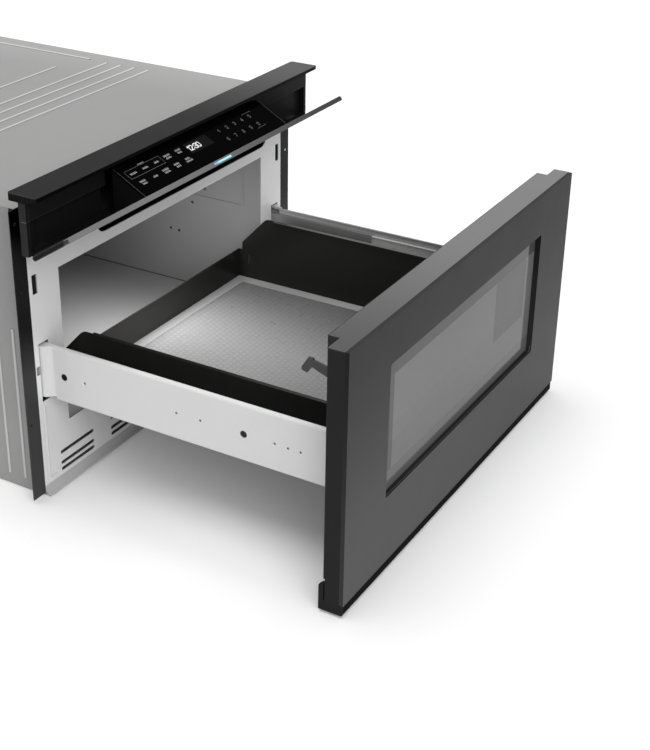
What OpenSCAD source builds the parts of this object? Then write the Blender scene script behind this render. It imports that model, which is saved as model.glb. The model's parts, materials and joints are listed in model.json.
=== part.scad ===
// Built-in microwave drawer with the drawer pulled out and the control flap tilted open.
// Origin: on the cabinet's shelf, in the plane of the cabinet's face, on the centre line.
// +X points right as seen from the front, +Y points into the cabinet and +Z points up.

/* [Chassis] */
// Width of the chassis inside the cabinet
chassis_w = 560; // [552:1:570]
// Height of the chassis above the shelf
chassis_h = 379; // [375:1:386]
// Depth of the chassis behind the cabinet's face
chassis_d = 548.5; // [546:0.5:570]
// Sheet thickness of the outer wrap
wrap_t = 1; // [0.8:0.1:1.2]
// Sheet thickness of the base pan
pan_t = 1.2; // [0.8:0.1:1.5]
// Height of the base pan's upturned rims
pan_rim_h = 14; // [8:1:20]
// Sheet thickness of the back panel
back_t = 1; // [0.8:0.1:1.5]
// Height of the pressed beads above the sheet
bead_h = 1.4; // [0.8:0.1:2]
// Width of the pressed beads
bead_w = 6; // [4:0.5:8]

/* [Front plate and flanges] */
// Sheet thickness of the front plate
plate_t = 1.5; // [1:0.1:2]
// Width of the front plate
plate_w = 560; // [556:1:560]
// Radius of the bend at the plate's foot
plate_lip_r = 9; // [6:0.5:10]
// Sheet thickness of the mounting flanges
flange_t = 1.5; // [1:0.1:2]
// Width over both mounting flanges
flange_span = 604; // [600:1:608]
// Height of a flange's lower end above the shelf
flange_bottom_z = 4; // [2:0.5:8]
// Height of a flange's upper end above the shelf
flange_top_z = 386; // [380:1:390]
// Depth of a flange's leg along the wrap
flange_leg_d = 18; // [12:1:22]
// Radius of the cabinet screw holes
screw_hole_r = 2.3; // [1.8:0.1:2.6]
// Distance from a mounting flange's outer edge to its screw holes
screw_edge = 7.5; // [6:0.5:9]
// Height of the lowest cabinet screw hole
screw_low_z = 107; // [95:1:120]
// Rise from the lowest to the highest cabinet screw hole
screw_rise = 261; // [250:1:264]
// Rise from the lowest to the middle cabinet screw hole
screw_mid_rise = 174; // [160:1:190]

/* [Cavity] */
// Inner width of the cavity
cavity_w = 452.6; // [444:0.1:456]
// Height of the cavity's floor above the shelf
cavity_floor_z = 63; // [58:1:66]
// Inner height of the cavity
cavity_h = 227; // [222:1:230]
// Inner depth of the cavity behind the cabinet's face
cavity_d = 441.5; // [436:0.5:446]
// Sheet thickness of the cavity liner
cavity_t = 1; // [0.8:0.1:1.2]

/* [Hood and control flap] */
// Width of the hood's top plate
hood_w = 612; // [610:1:616]
// Thickness of the hood's top plate
hood_t = 9; // [6:0.5:12]
// Depth of the hood's top plate
hood_d = 42; // [41:0.5:44]
// Height of the control housing's lower edge above the shelf
housing_bottom_z = 337.5; // [336:0.5:339]
// Height of the control housing
housing_h = 64.5; // [64:0.5:67]
// Depth of the control housing's cheeks
cheek_d = 10; // [9.5:0.5:12]
// Height of the control flap above its hinge
flap_h = 62.5; // [60:0.5:63]
// Thickness of the control flap
flap_t = 6.5; // [6:0.5:7]
// Angle through which the flap is tilted open
flap_open_angle = 57; // [50:1:57]
// Width of the touch glass
glass_w = 318; // [300:2:320]
// Length of the touch glass down its slope
glass_len = 54; // [48:0.5:55]
// Slope of the touch glass below the level when the flap is shut
glass_slope = 28.5; // [28:0.5:31]
// Thickness of the touch glass
glass_t = 2; // [1:0.5:3]
// Radius of the flap's hinge pins
pin_r = 1.5; // [1.2:0.1:1.8]

/* [Drawer and door] */
// Distance that the drawer is pulled out
travel = 395; // [385:1:396]
// Gap between the shut door and the front plate
door_gap = 1; // [0.5:0.1:1.5]
// Width of the door
door_w = 606.4; // [604:0.2:608]
// Depth of the door
door_d = 39; // [37:0.5:42]
// Height of the door's lower edge above the shelf
door_bottom_z = 15.5; // [14:0.5:17]
// Height of the door
door_h = 311.5; // [308:0.5:314]
// Depth of the folded edge round the door's front sheet
front_t = 5; // [4:0.5:6]
// Sheet thickness of the door's front
front_sheet_t = 1.2; // [0.8:0.1:1.5]
// Width of the window in the front sheet
window_w = 418; // [405:1:420]
// Height of the window in the front sheet
window_h = 168; // [160:1:172]
// Height of the window's lower edge above the shelf
window_z = 104; // [100:1:108]
// Width of the door pan
door_pan_w = 556; // [550:1:560]
// Depth of the door pan
door_pan_d = 14; // [12:0.5:15]
// Sheet thickness of the door's frame and top cap
frame_t = 1.6; // [1.2:0.1:2]
// Sheet thickness of the door pan
door_pan_t = 1.2; // [1:0.1:1.5]

/* [Arms and slides] */
// Height of the arms' lower edge above the shelf
arm_bottom_z = 130.5; // [129.5:0.5:132]
// Height of the arms
arm_h = 73.5; // [72:0.5:75]
// Sheet thickness of the arms
arm_t = 1.5; // [1.2:0.1:2]
// Distance from the chassis's side to an arm's outer face
arm_inset = 18; // [17:0.5:20]
// Width of an arm's top flange
arm_flange_w = 5; // [4.5:0.5:8]
// Length of a closed slide
slide_len = 420; // [410:1:425]
// Width taken by a slide's three members
slide_w = 7.6; // [7.4:0.1:8.2]
// Height of a slide's cabinet member
slide_h = 47; // [44:0.5:48]
// Sheet thickness of the slide members
slide_t = 1.2; // [1:0.1:1.3]
// Running gap between slide members
slide_gap = 0.5; // [0.4:0.1:0.6]

/* [Basket] */
// Width over the basket's sides
basket_w = 424; // [416:1:426]
// Height of the basket's underside above the shelf
basket_bottom_z = 100; // [96:1:102]
// Height of the basket's sides
basket_side_h = 104; // [98:1:106]
// Height of the basket's back
basket_back_h = 48; // [40:1:56]
// Sheet thickness of the basket's sides and back
basket_t = 2; // [1.5:0.1:3]
// Sheet thickness of the basket's floor pan
basket_pan_t = 1.5; // [1:0.1:2]
// Width of the frame round the glass floor
floor_rim_w = 16; // [12:1:20]
// Thickness of the glass floor
floor_glass_t = 4; // [3:0.5:5]

/* [Drawer drive] */
// Module of the rack and pinion
gear_module = 1.5; // [1.4:0.05:1.6]
// Number of teeth on the pinion
pinion_teeth = 13; // [13:1:14]
// Height of the pinion's toothed rim
pinion_h = 10; // [8:0.5:11]
// Radius of the pinion's shaft
pinion_shaft_r = 3; // [2.5:0.1:3.5]

/* [Microwave source and cooling] */
// Radius of the stirrer opening in the cavity's ceiling
stirrer_hole_r = 62; // [58:1:64]
// Radius of the stirrer fan
stirrer_r = 55; // [48:1:58]
// Height of the waveguide
guide_h = 38; // [34:1:42]
// Width of the waveguide
guide_w = 90; // [84:1:94]
// Radius of the cooling fan
fan_r = 38; // [34:0.5:39]
// Radial gap between a running shaft and its bore
shaft_gap = 0.05; // [0.02:0.01:0.1]

/* [Hidden] */
$fn = 48;

// Overrun of every cut past the face it opens
cut = 0.5;

// Facets of the finest round profiles, and steps along a tooth's flank
round_fn = 96;
flank_steps = 5;

// Planes of the chassis
half_w = chassis_w / 2;
wrap_in = half_w - wrap_t;
plate_front_y = -plate_t;
plate_back_y = 0;
back_y = chassis_d - back_t;
cavity_half = cavity_w / 2;
liner_out = cavity_half + cavity_t;
ceiling_z = cavity_floor_z + cavity_h;
ceiling_top_z = ceiling_z + cavity_t;
cavity_back_y = cavity_d + cavity_t;

// Beads of the wrap: places along the depth, and how far they stop short of the edges
top_bead_ys = [207.5, 232.5, 257.5, 283.5];
top_bead_end = 34;
short_bead_y = 335;
short_bead_x = 190;
long_bead_x = 250;
long_bead_ys = [317.5, 508.5];
side_bead_ys = [29.5, 54.5];
side_bead_end = 16;
side_bead_top = 156;
side_row_y = 120;
side_row_step = 62;
side_row_count = 6;
bead_sink_share = 0.7;

// Front plate: latch slots, arm slots, vent slot, louvres and its two pressed beads
plate_bottom_z = 1.5;
plate_sill = 20.5;
latch_slot_in = 265.5;
latch_slot_w = 8.5;
latch_slot_z = 272;
latch_slot_h = 25;
arm_slot_low_gap = 1.5;
arm_slot_top_gap = 2.9;
arm_slot_out_gap = 1.4;
arm_slot_notch_w = 6;
arm_slot_notch_z = 36.5;
arm_slot_notch_h = 11.5;
rack_slot_gap = 1.5;
vent_left_x = -150;
vent_right_x = 242;
vent_z = 304;
vent_h = 32;
louvre_w = 66;
louvre_h = 5;
louvre_out_x = 247;
louvre_in_x = 145;
louvre_zs = [18, 27, 42];
plate_bead_x = 270;
plate_bead_low_z = 20;
plate_bead_high_z = 121;
plate_bead_foot_w = 13;
plate_bead_w = 4;
plate_bead_h = 0.8;

// Control housing and hinge line
housing_top_z = housing_bottom_z + housing_h;
cheek_back_gap = 17;
cheek_back_y = plate_front_y - cheek_back_gap;
housing_front_y = cheek_back_y - cheek_d;
hood_side_lap = 1;
housing_half = hood_w / 2 - hood_side_lap;
housing_back_inset = 22;
housing_back_half = housing_half - housing_back_inset;
cheek_t = 5;
bay_depth = 8;
bay_floor_t = 3;
bay_floor_gap = 0.75;
bay_header_h = 23;
bay_pad_depth = 0.8;
bay_slot_d = 4.5;
bay_slot_len = 27;
bay_slot_out_gap = 16;
bay_slot_out_x = housing_half - bay_slot_out_gap;
bay_slot_in_x = bay_slot_out_x - bay_slot_len;
box_lift = 9;
hinge_clear = 2.75;
hinge_drop = 0.7;
hinge_y = housing_front_y - hinge_clear - flap_t / 2;
hinge_z = housing_bottom_z - hinge_drop;
module_gap = 3.5;
drum_t = 2.2;
drum_low_angle = 33;
drum_floor_drop = 2;
drum_half = glass_w / 2 + module_gap;
drum_out = drum_half + drum_t;
bay_pad_gap = 1.3;
bay_pad_out_gap = 23;
bay_pad_in_x = drum_out + bay_pad_gap;
bay_pad_out_x = housing_half - bay_pad_out_gap;
hood_back_gap = 2.4;
hood_front_t = 4.5;
hood_step = 15;
hood_corner_r = 4;
ear_r = 3.7;
ear_w = 8;
ear_gap = 0.6;
ear_notch_r = 5.6;
ear_inset = 6;
ear_x = drum_half + ear_inset;
pin_over = 7;
pin_len = ear_w + 2 * pin_over;
strip_end_r = 2.6;
wedge_back_low = 4;
wedge_top_low = 0.8;
glass_over = 1;
light_w = 38;
light_x = 1;
light_h = 2.6;
light_depth = 2;

// Slides and arms
arm_out = half_w - arm_inset;
arm_in = arm_out - arm_t;
slide_in = arm_in - slide_w;
slide_rise = 43;
slide_z = arm_bottom_z + slide_rise;
slide_start_y = 10.5;
middle_set = 19;
middle_short = 20;
drawer_set = 8;
drawer_short = 12;
middle_in = slide_in + slide_t + slide_gap;
lip_out = arm_in - slide_t - slide_gap;
lip_in = middle_in + slide_t + slide_gap;
arm_low_flange_w = 12;
arm_bend_r = 4;
arm_tail = 37.5;
tail_lift = 5.5;
flare_start_y = -15.5;
flare_len = 13;
flare_out = 8.5;
flare_steps = 10;
arm_hole_z = 35.5;
arm_hole_rs = [3.8, 4.4];
arm_hole_ys = [-29.5, -283.5];
dimple_ys = [-59.5, -323.5];
dimple_r = 3;
pilot_ys = [-192.5, -225.5, -341.5, -357.5];
pilot_r = 1.2;
bracket_ys = [31.5, 213.5, 383.5];
bracket_len = 32;
bracket_h = 38;
bracket_t = 2;

// Door planes
door_back_y = plate_front_y - door_gap - travel;
door_front_y = door_back_y - door_d;
door_half = door_w / 2;
door_top_z = door_bottom_z + door_h;
door_pan_half = door_pan_w / 2;
door_pan_front_y = door_back_y - door_pan_d;
front_back_y = door_front_y + front_t;
front_edge_r = 1.2;
rim_d = 2.5;
rim_t = 1.5;
return_w = 34;
glass_front_y = front_back_y + rim_d;
side_set = 1.8;
pan_clear = 8;
outer_glass_t = 4;
outer_glass_over = 8;
clear_w = 368;
clear_h = 120;
clear_z = window_z + (window_h - clear_h) / 2;
screen_t = 1;
screen_over = 12;
inner_glass_t = 3;
inner_glass_over = 10;
trim_h = 13;
trim_set = 1.5;
trim_wall = 2;
foot_h = 36;
foot_back = 8;
foot_w = 4;
hook_x = 270;
hook_t = 3;
hook_z = latch_slot_z + 1;
hook_points = [[0, 0], [4, 0.5], [22, 7.5], [28, -0.7], [34.5, 1.5], [34.5, 5],
               [26.5, 18], [21, 17.8], [20.3, 15.7], [4, 12], [0, 12]];

// Basket
basket_half = basket_w / 2;
basket_front_y = door_back_y;
basket_back_y = 28.5;
basket_rear_set = 7.5;
basket_rear_h = 60;
basket_slope = 47;
basket_corner_r = 14;
basket_lip_w = 3.5;
basket_lip_h = 2.5;
side_slot_y = 6.5;
side_slot_w = 6;
side_slot_z = 126;
side_slot_h = 17;
floor_gap = 0.3;

// Rack and pinion
pressure_angle = 20;
pitch_r = gear_module * pinion_teeth / 2;
tip_r = pitch_r + 0.85 * gear_module;
root_r = pitch_r - 1.2 * gear_module;
base_r = pitch_r * cos(pressure_angle);
pinion_clear = 0.9;
pinion_x = liner_out + pinion_clear + tip_r;
pinion_y = 29.5;
pinion_lift = 5.5;
rack_pitch_x = pinion_x + pitch_r;
rack_addendum = 0.72 * gear_module;
rack_dedendum = 1.1 * gear_module;
backlash_angle = 1.3;
backlash = 0.35;
tooth_pitch = PI * gear_module;
rack_front_teeth = ceil((travel + 4 * tooth_pitch) / tooth_pitch);
rack_back_teeth = 2;
rack_h = 12;
motor_top_gap = 2;
gearbox_h = 34;
gearbox_len = 50;
gearbox_front = 12.5;
motor_r = 16;
motor_h = 52;

// Latch housings
latch_block_out = wrap_in;
latch_block_in = 262.8;
latch_block_len = 51;
latch_block_z = 264;
latch_block_h = 42;
latch_pocket_h = 33;
latch_pocket_z = 268;
latch_pocket_d = 41;
switch_w = 11;
switch_len = 30;
switch_h = 20;

// Microwave source
stirrer_y = 215;
chamber_w = 140;
guide_t = 1;
guide_end_gap = 8;
stirrer_lift = 9;
stirrer_blade_t = 1;
stirrer_blades = 4;
stirrer_shaft_r = 2.5;
stirrer_motor_r = 24;
stirrer_motor_h = 18;
stirrer_ear_len = 10;
stirrer_ear_w = 8;
cover_t = 1;
cover_over = 14;
antenna_r = 8;
antenna_hole_r = 12;
antenna_h = 22;
magnetron_w = 88;
magnetron_d = 78;
magnetron_h = 84;
magnetron_y = 496;
magnetron_t = 2;
fin_count = 6;
fin_t = 1;
anode_r = 19;
filter_h = 24;

// Cooling fan, transformer, capacitor, boards
fan_x = 60;
fan_y = 496;
fan_z = 248;
shroud_d = 24;
shroud_w = 88;
shroud_t = 2;
fan_gap = 2;
fan_hub_r = 10;
fan_hub_d = 16;
fan_blades = 5;
fan_blade_t = 1.2;
fan_blade_pitch = 35;
fan_shaft_r = 2;
fan_motor_r = 20;
fan_motor_d = 28;
spider_w = 6;
core_w = 100;
core_d = 56;
core_h = 84;
core_x = -165;
coil_w = 60;
coil_d = 80;
coil_h = 46;
coil_corner_r = 10;
capacitor_w = 52;
capacitor_d = 32;
capacitor_h = 96;
capacitor_x = 190;
terminal_h = 10;
terminal_r = 2;
carrier_x = -152;
carrier_y = 160;
carrier_w = 134;
carrier_d = 190;
carrier_t = 2;
post_h = 10;
post_r = 4;
board_t = 1.6;
board_inset = 4;
relay_w = 20;
relay_h = 18;
relay_count = 4;
gland_x = 200;
gland_z = 70;
gland_r = 11;
gland_neck_r = 9.5;
gland_bore_r = 4.6;
gland_len = 22;
lamp_y = 201.5;
lamp_z = 248;
lamp_w = 46;
lamp_d = 24;
lamp_h = 40;
lamp_wall = 1.5;
bulb_r = 9;
lamp_hole_r = 2.5;
lamp_step = 9;
vent_rows = 4;
vent_cols = 9;
back_vent_w = 26;
back_vent_h = 4;
back_vent_step_x = 34;
back_vent_step_z = 12;
back_vent_x = -20;
back_vent_z = 225;
screw_head_r = 4;
screw_head_h = 2;
back_screw_zs = [40, 190, 340];
back_screw_inset = 10;
panel_emboss_y = 28.5;
panel_emboss_d = 330;
panel_emboss_z = 209;
panel_emboss_h = 56;
panel_emboss_t = 1.5;
panel_emboss_r = 6;
wall_dots = [[97.5, 222], [119.5, 197], [145.5, 146], [160.5, 147]];
wall_dot_r = 1.6;

// Colours
chassis_grey = [0.66, 0.66, 0.65];
plate_white = [0.84, 0.84, 0.83];
black_steel = [0.22, 0.22, 0.23];
black_gloss = [0.05, 0.05, 0.06];
black_matt = [0.1, 0.1, 0.1];
zinc = [0.7, 0.72, 0.74];

// A box between two corners, given as its range along each axis
module block(x, y, z) {
    translate([x[0], y[0], z[0]])
        cube([x[1] - x[0], y[1] - y[0], z[1] - z[0]]);
}

// Extrude a profile drawn in Y and Z along X
module along_x(x) {
    translate([x[0], 0, 0])
        rotate([90, 0, 90])
            linear_extrude(x[1] - x[0])
                children();
}

// Extrude a profile drawn in X and Z along Y
module along_y(y) {
    translate([0, y[1], 0])
        rotate([90, 0, 0])
            linear_extrude(y[1] - y[0])
                children();
}

// Extrude a plan drawn in X and Y along Z
module along_z(z) {
    translate([0, 0, z[0]])
        linear_extrude(z[1] - z[0])
            children();
}

// The children and their mirror image across the centre plane
module both_sides() {
    children();
    mirror([1, 0, 0])
        children();
}

// The children as they are on the right, or mirrored for the left
module on_side(right) {
    if (right)
        children();
    else
        mirror([1, 0, 0])
            children();
}

// A rectangle between two corners
module rect(x, y) {
    translate([x[0], y[0]])
        square([x[1] - x[0], y[1] - y[0]]);
}

// A rectangle between two corners with round corners of radius r
module round_rect(x, y, r) {
    rect([x[0] + r, x[1] - r], y);
    rect(x, [y[0] + r, y[1] - r]);
    for (cx = [x[0] + r, x[1] - r])
        for (cy = [y[0] + r, y[1] - r])
            translate([cx, cy])
                circle(r);
}

// A slot with round ends along X
module slot(x, y) {
    r = (y[1] - y[0]) / 2;
    rect([x[0] + r, x[1] - r], y);
    for (cx = [x[0] + r, x[1] - r])
        translate([cx, y[0] + r])
            circle(r);
}

// Points on an arc about (cx, cy)
function arc(cx, cy, r, a0, a1, n = 8) =
    [for (i = [0:n]) [cx + r * cos(a0 + (a1 - a0) * i / n), cy + r * sin(a0 + (a1 - a0) * i / n)]];

// A smooth step from 0 to 1
function ease(s) = (1 - cos(180 * min(max(s, 0), 1))) / 2;

// A bead's outline above the sheet: a shallow arc of width w and height h
module bead_profile(w, h) {
    r = (w * w / 4 + h * h) / (2 * h);
    intersection() {
        translate([0, h - r])
            circle(r, $fn = round_fn);
        rect([-w, w], [-h * bead_sink_share, h]);
    }
}

// A pressed bead along X on a sheet whose face is at z
module bead_along_x(x, y, z, w, h) {
    translate([0, y, z])
        along_x(x)
            bead_profile(w, h);
}

// Base pan with upturned side and rear rims
module base_pan() {
    color(chassis_grey) {
        block([-wrap_in, wrap_in], [plate_front_y, back_y], [0, pan_t]);
        both_sides()
            block([wrap_in - pan_t, wrap_in], [plate_back_y, back_y], [pan_t, pan_rim_h]);
        block([-wrap_in + pan_t, wrap_in - pan_t], [back_y - pan_t, back_y], [pan_t, pan_rim_h]);
    }
}

// Top and sides of the chassis, folded from one sheet with pressed beads
module chassis_wrap() {
    color(chassis_grey) {
        difference() {
            union() {
                block([-half_w, half_w], [plate_back_y, back_y], [chassis_h - wrap_t, chassis_h]);
                both_sides()
                    block([wrap_in, half_w], [plate_back_y, back_y], [0, chassis_h - wrap_t]);
            }
            block([-drum_out - cut, drum_out + cut], [plate_back_y - cut, drum_back_y() + cut],
                  [housing_bottom_z, chassis_h + cut]);
        }
        for (y = top_bead_ys)
            bead_along_x([-half_w + top_bead_end, half_w - top_bead_end], y, chassis_h, bead_w, bead_h);
        bead_along_x([-half_w + top_bead_end, short_bead_x], short_bead_y, chassis_h, bead_w, bead_h);
        both_sides() {
            translate([long_bead_x, 0, chassis_h])
                along_y(long_bead_ys)
                    bead_profile(bead_w, bead_h);
            for (y = side_bead_ys)
                side_bead(y, [side_bead_end, chassis_h - side_bead_top]);
            for (i = [0 : side_row_count - 1])
                side_bead(side_row_y + i * side_row_step, [side_bead_end, chassis_h - 2 * side_bead_end]);
        }
    }
}

// A vertical bead on the wrap's right side
module side_bead(y, z) {
    translate([half_w, y, z[0]])
        rotate([0, 0, -90])
            linear_extrude(z[1] - z[0])
                bead_profile(bead_w, bead_h);
}

// Back panel with a field of vent slots beside the fan and a hole for the gland
module back_panel() {
    color(chassis_grey)
        along_y([back_y, chassis_d])
            difference() {
                rect([-half_w, half_w], [0, chassis_h]);
                for (i = [0 : vent_cols - 1])
                    for (j = [0 : vent_rows - 1])
                        translate([back_vent_x + (i - (vent_cols - 1) / 2) * back_vent_step_x,
                                   back_vent_z + j * back_vent_step_z])
                            slot([-back_vent_w / 2, back_vent_w / 2], [0, back_vent_h]);
                translate([gland_x, gland_z])
                    circle(gland_neck_r + shaft_gap);
            }
}

// Slots of the front plate, drawn for the right side in X and Z
module plate_slots() {
    slot_in = middle_in - slide_gap;
    slot_out = arm_out + flare_out + arm_slot_out_gap;
    slot_low = arm_bottom_z - arm_slot_low_gap;
    rect([latch_slot_in, latch_slot_in + latch_slot_w], [latch_slot_z, latch_slot_z + latch_slot_h]);
    rect([slot_in, slot_out], [slot_low, arm_bottom_z + arm_h + arm_slot_top_gap]);
    rect([rack_pitch_x - rack_addendum - rack_slot_gap, slot_in + cut],
         [slot_low, arm_bottom_z + arm_bend_r + rack_h + rack_slot_gap]);
    rect([slot_out - cut, slot_out + arm_slot_notch_w],
         [arm_bottom_z + arm_slot_notch_z, arm_bottom_z + arm_slot_notch_z + arm_slot_notch_h]);
    for (x = [louvre_out_x, louvre_in_x])
        for (z = louvre_zs)
            slot([x - louvre_w, x], [z, z + louvre_h]);
}

// White front plate with a rolled foot
module front_plate() {
    pocket_floor_z = drum_floor(plate_front_y);
    lip_z = plate_bottom_z + plate_lip_r;
    color(plate_white) {
        along_y([plate_front_y, plate_back_y])
            difference() {
                rect([-plate_w / 2, plate_w / 2], [lip_z, chassis_h]);
                rect([-cavity_half, cavity_half], [cavity_floor_z + plate_sill, ceiling_z]);
                slot([vent_left_x, vent_right_x], [vent_z, vent_z + vent_h]);
                rect([-drum_out - cut, drum_out + cut], [pocket_floor_z - drum_t - cut, chassis_h + cut]);
                plate_slots();
                mirror([1, 0])
                    plate_slots();
            }
        along_x([-plate_w / 2, plate_w / 2])
            intersection() {
                translate([plate_back_y - plate_lip_r, lip_z])
                    difference() {
                        circle(plate_lip_r, $fn = round_fn);
                        circle(plate_lip_r - plate_t, $fn = round_fn);
                    }
                rect([plate_back_y - plate_lip_r, plate_back_y], [plate_bottom_z, lip_z]);
            }
        both_sides() {
            translate([plate_bead_x, plate_front_y, plate_bead_low_z])
                rotate([0, 0, 180])
                    linear_extrude(plate_bead_high_z - plate_bead_low_z)
                        bead_profile(plate_bead_w, plate_bead_h);
            translate([0, plate_front_y, plate_bead_low_z])
                along_x([plate_bead_x - plate_bead_foot_w, plate_bead_x])
                    rotate([0, 0, 90])
                        bead_profile(plate_bead_w, plate_bead_h);
        }
    }
}

// Black mounting flange on the right, an angle with three screw holes
module mounting_flange() {
    color(black_gloss) {
        along_y([-flange_t, 0])
            difference() {
                rect([half_w, flange_span / 2], [flange_bottom_z, flange_top_z]);
                for (rise = [0, screw_mid_rise, screw_rise])
                    translate([flange_span / 2 - screw_edge, screw_low_z + rise])
                        circle(screw_hole_r);
            }
        block([half_w, half_w + flange_t], [0, flange_leg_d], [flange_bottom_z, chassis_h]);
    }
}

// Depth of the drum's back wall, and the height of its floor at a depth y
function drum_r() = module_reach() + module_gap;
function drum_back_y() = hinge_y + (drum_r() + drum_t) * cos(drum_low_angle);
function drum_floor(y) = hinge_z - drum_floor_drop + (y - hinge_y) * tan(drum_low_angle);

// Greatest distance of the flap's module from the hinge line
function module_reach() =
    norm([flap_t / 2 + glass_len * cos(glass_slope),
          flap_h - wedge_top_low - glass_len * sin(glass_slope)]);

// Outline in Y and Z of the space that the flap's module swings through, grown by a wall
module drum_outline(grow) {
    r = drum_r() + grow;
    low = drum_floor_drop + grow;
    polygon(concat(
        [[hinge_y, hinge_z - low]],
        [[hinge_y + r * cos(drum_low_angle), hinge_z - low + r * cos(drum_low_angle) * tan(drum_low_angle)]],
        arc(hinge_y, hinge_z, r, drum_low_angle, 90, 16),
        [[hinge_y - r, hinge_z + r]],
        [[hinge_y - r, hinge_z - low]]
    ));
}

// Hood trim: the flat top plate that overhangs the control housing
module hood_trim() {
    front_y = plate_front_y - hood_back_gap - hood_d;
    top_z = housing_top_z + hood_t;
    color(black_steel)
        intersection() {
            along_z([housing_top_z, top_z])
                round_rect([-hood_w / 2, hood_w / 2], [front_y, front_y + hood_d], hood_corner_r);
            along_x([-hood_w / 2, hood_w / 2])
                polygon([
                    [front_y + hood_d, housing_top_z],
                    [front_y + hood_d, top_z],
                    [front_y, top_z],
                    [front_y, top_z - hood_front_t],
                    [front_y + hood_step, housing_top_z]
                ]);
        }
}

// Control housing: cheeks, bay wall, rear box and the drum that the flap's module swings into
module control_housing() {
    bay_y = housing_front_y + bay_depth;
    cheek_in = housing_half - cheek_t;
    header_z = housing_top_z - bay_header_h;
    color(black_matt)
        difference() {
            union() {
                both_sides() {
                    block([cheek_in, housing_half], [housing_front_y, cheek_back_y],
                          [housing_bottom_z, housing_top_z]);
                    block([bay_pad_in_x, bay_pad_out_x], [bay_y - bay_pad_depth, bay_y],
                          [housing_bottom_z + bay_floor_t, header_z]);
                }
                block([-cheek_in, cheek_in], [bay_y, cheek_back_y], [housing_bottom_z, housing_top_z]);
                block([-cheek_in, cheek_in], [housing_front_y, bay_y], [header_z, housing_top_z]);
                block([-cheek_in, cheek_in], [hinge_y + flap_t / 2 + bay_floor_gap, bay_y],
                      [housing_bottom_z, housing_bottom_z + bay_floor_t]);
                block([-housing_back_half, housing_back_half], [cheek_back_y, plate_front_y],
                      [housing_bottom_z + box_lift, housing_top_z]);
                intersection() {
                    along_x([-drum_out, drum_out])
                        drum_outline(drum_t);
                    block([-drum_out, drum_out], [cheek_back_y, chassis_d],
                          [housing_bottom_z, housing_top_z]);
                }
                for (side = [-1, 1])
                    translate([side * ear_x, 0, 0])
                        hinge_ear();
            }
            along_x([-drum_half, drum_half])
                drum_outline(0);
            both_sides()
                block([bay_slot_in_x, bay_slot_out_x],
                      [bay_y - bay_slot_d - bay_pad_depth, bay_y - bay_pad_depth],
                      [housing_bottom_z - cut, housing_bottom_z + bay_floor_t + cut]);
            for (side = [-1, 1])
                translate([side * ear_x, hinge_y, hinge_z])
                    rotate([0, 90, 0])
                        cylinder(h = ear_w + 2 * cut, r = pin_r, center = true);
        }
}

// One ear that carries a hinge pin, reaching forward from the bay's floor
module hinge_ear() {
    along_x([-ear_w / 2, ear_w / 2]) {
        translate([hinge_y, hinge_z])
            circle(ear_r);
        rect([hinge_y, housing_front_y + bay_depth], [hinge_z - ear_r, hinge_z + ear_r]);
    }
}

// The flap's two steel hinge pins
module hinge_pins() {
    color(zinc)
        for (side = [-1, 1])
            translate([side * ear_x, hinge_y, hinge_z])
                rotate([0, 90, 0])
                    cylinder(h = pin_len, r = pin_r, center = true);
}

// Parts of the flap are drawn shut, about the hinge line, and tilted out here
module tilted() {
    translate([0, hinge_y, hinge_z])
        rotate([flap_open_angle, 0, 0])
            children();
}

// Flap bar: a flat bar with round ends and a round foot on the hinge line
module flap_panel() {
    notch = ear_w / 2 + ear_gap;
    color(black_steel)
        tilted()
            difference() {
                union() {
                    along_z([0, flap_h])
                        round_rect([-housing_half, housing_half], [-flap_t / 2, flap_t / 2], strip_end_r);
                    rotate([0, 90, 0])
                        cylinder(h = 2 * (housing_half - strip_end_r), r = flap_t / 2, center = true);
                }
                for (side = [-1, 1]) {
                    translate([side * ear_x, 0, 0])
                        rotate([0, 90, 0])
                            cylinder(h = 2 * notch, r = ear_notch_r, center = true);
                    translate([side * ear_x, 0, 0])
                        rotate([0, 90, 0])
                            cylinder(h = pin_len + 2 * ear_gap, r = pin_r + shaft_gap, center = true);
                }
                block([light_x - light_w / 2, light_x + light_w / 2], [-light_h / 2, light_h / 2],
                      [flap_h - light_depth, flap_h + cut]);
            }
}

// Light bar let into the flap's free edge
module light_bar() {
    color([0.35, 0.85, 0.95])
        tilted()
            block([light_x - light_w / 2, light_x + light_w / 2], [-light_h / 2, light_h / 2],
                  [flap_h - light_depth, flap_h]);
}

// Corner points of the touch glass's slope, shut, about the hinge line
function glass_top() = [flap_t / 2, flap_h - wedge_top_low];
function glass_low() = glass_top() + glass_len * [cos(glass_slope), -sin(glass_slope)];
function glass_under(p) = p - glass_t * [sin(glass_slope), cos(glass_slope)];

// Wedge-shaped module behind the flap, which carries the touch glass
module flap_module() {
    a = glass_under(glass_top());
    b = glass_under(glass_low());
    half = glass_w / 2 - glass_over;
    color(black_matt)
        tilted()
            along_x([-half, half])
                polygon([
                    [flap_t / 2, wedge_back_low],
                    b,
                    [flap_t / 2, a[1] - (flap_t / 2 - a[0]) * tan(glass_slope)]
                ]);
}

// Touch glass on the module's slope
module touch_glass() {
    a = glass_top();
    color(black_gloss)
        tilted()
            translate([0, a[0], a[1]])
                rotate([-glass_slope, 0, 0])
                    block([-glass_w / 2, glass_w / 2],
                          [glass_t * tan(glass_slope), glass_len], [-glass_t, 0]);
}

// Outline in Y and Z of the pressed panel in a cavity side wall, drawn in by a wall
module emboss_outline(inset) {
    round_rect([panel_emboss_y + inset, panel_emboss_y + panel_emboss_d - inset],
               [panel_emboss_z + inset, panel_emboss_z + panel_emboss_h - inset], panel_emboss_r - inset / 2);
}

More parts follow.
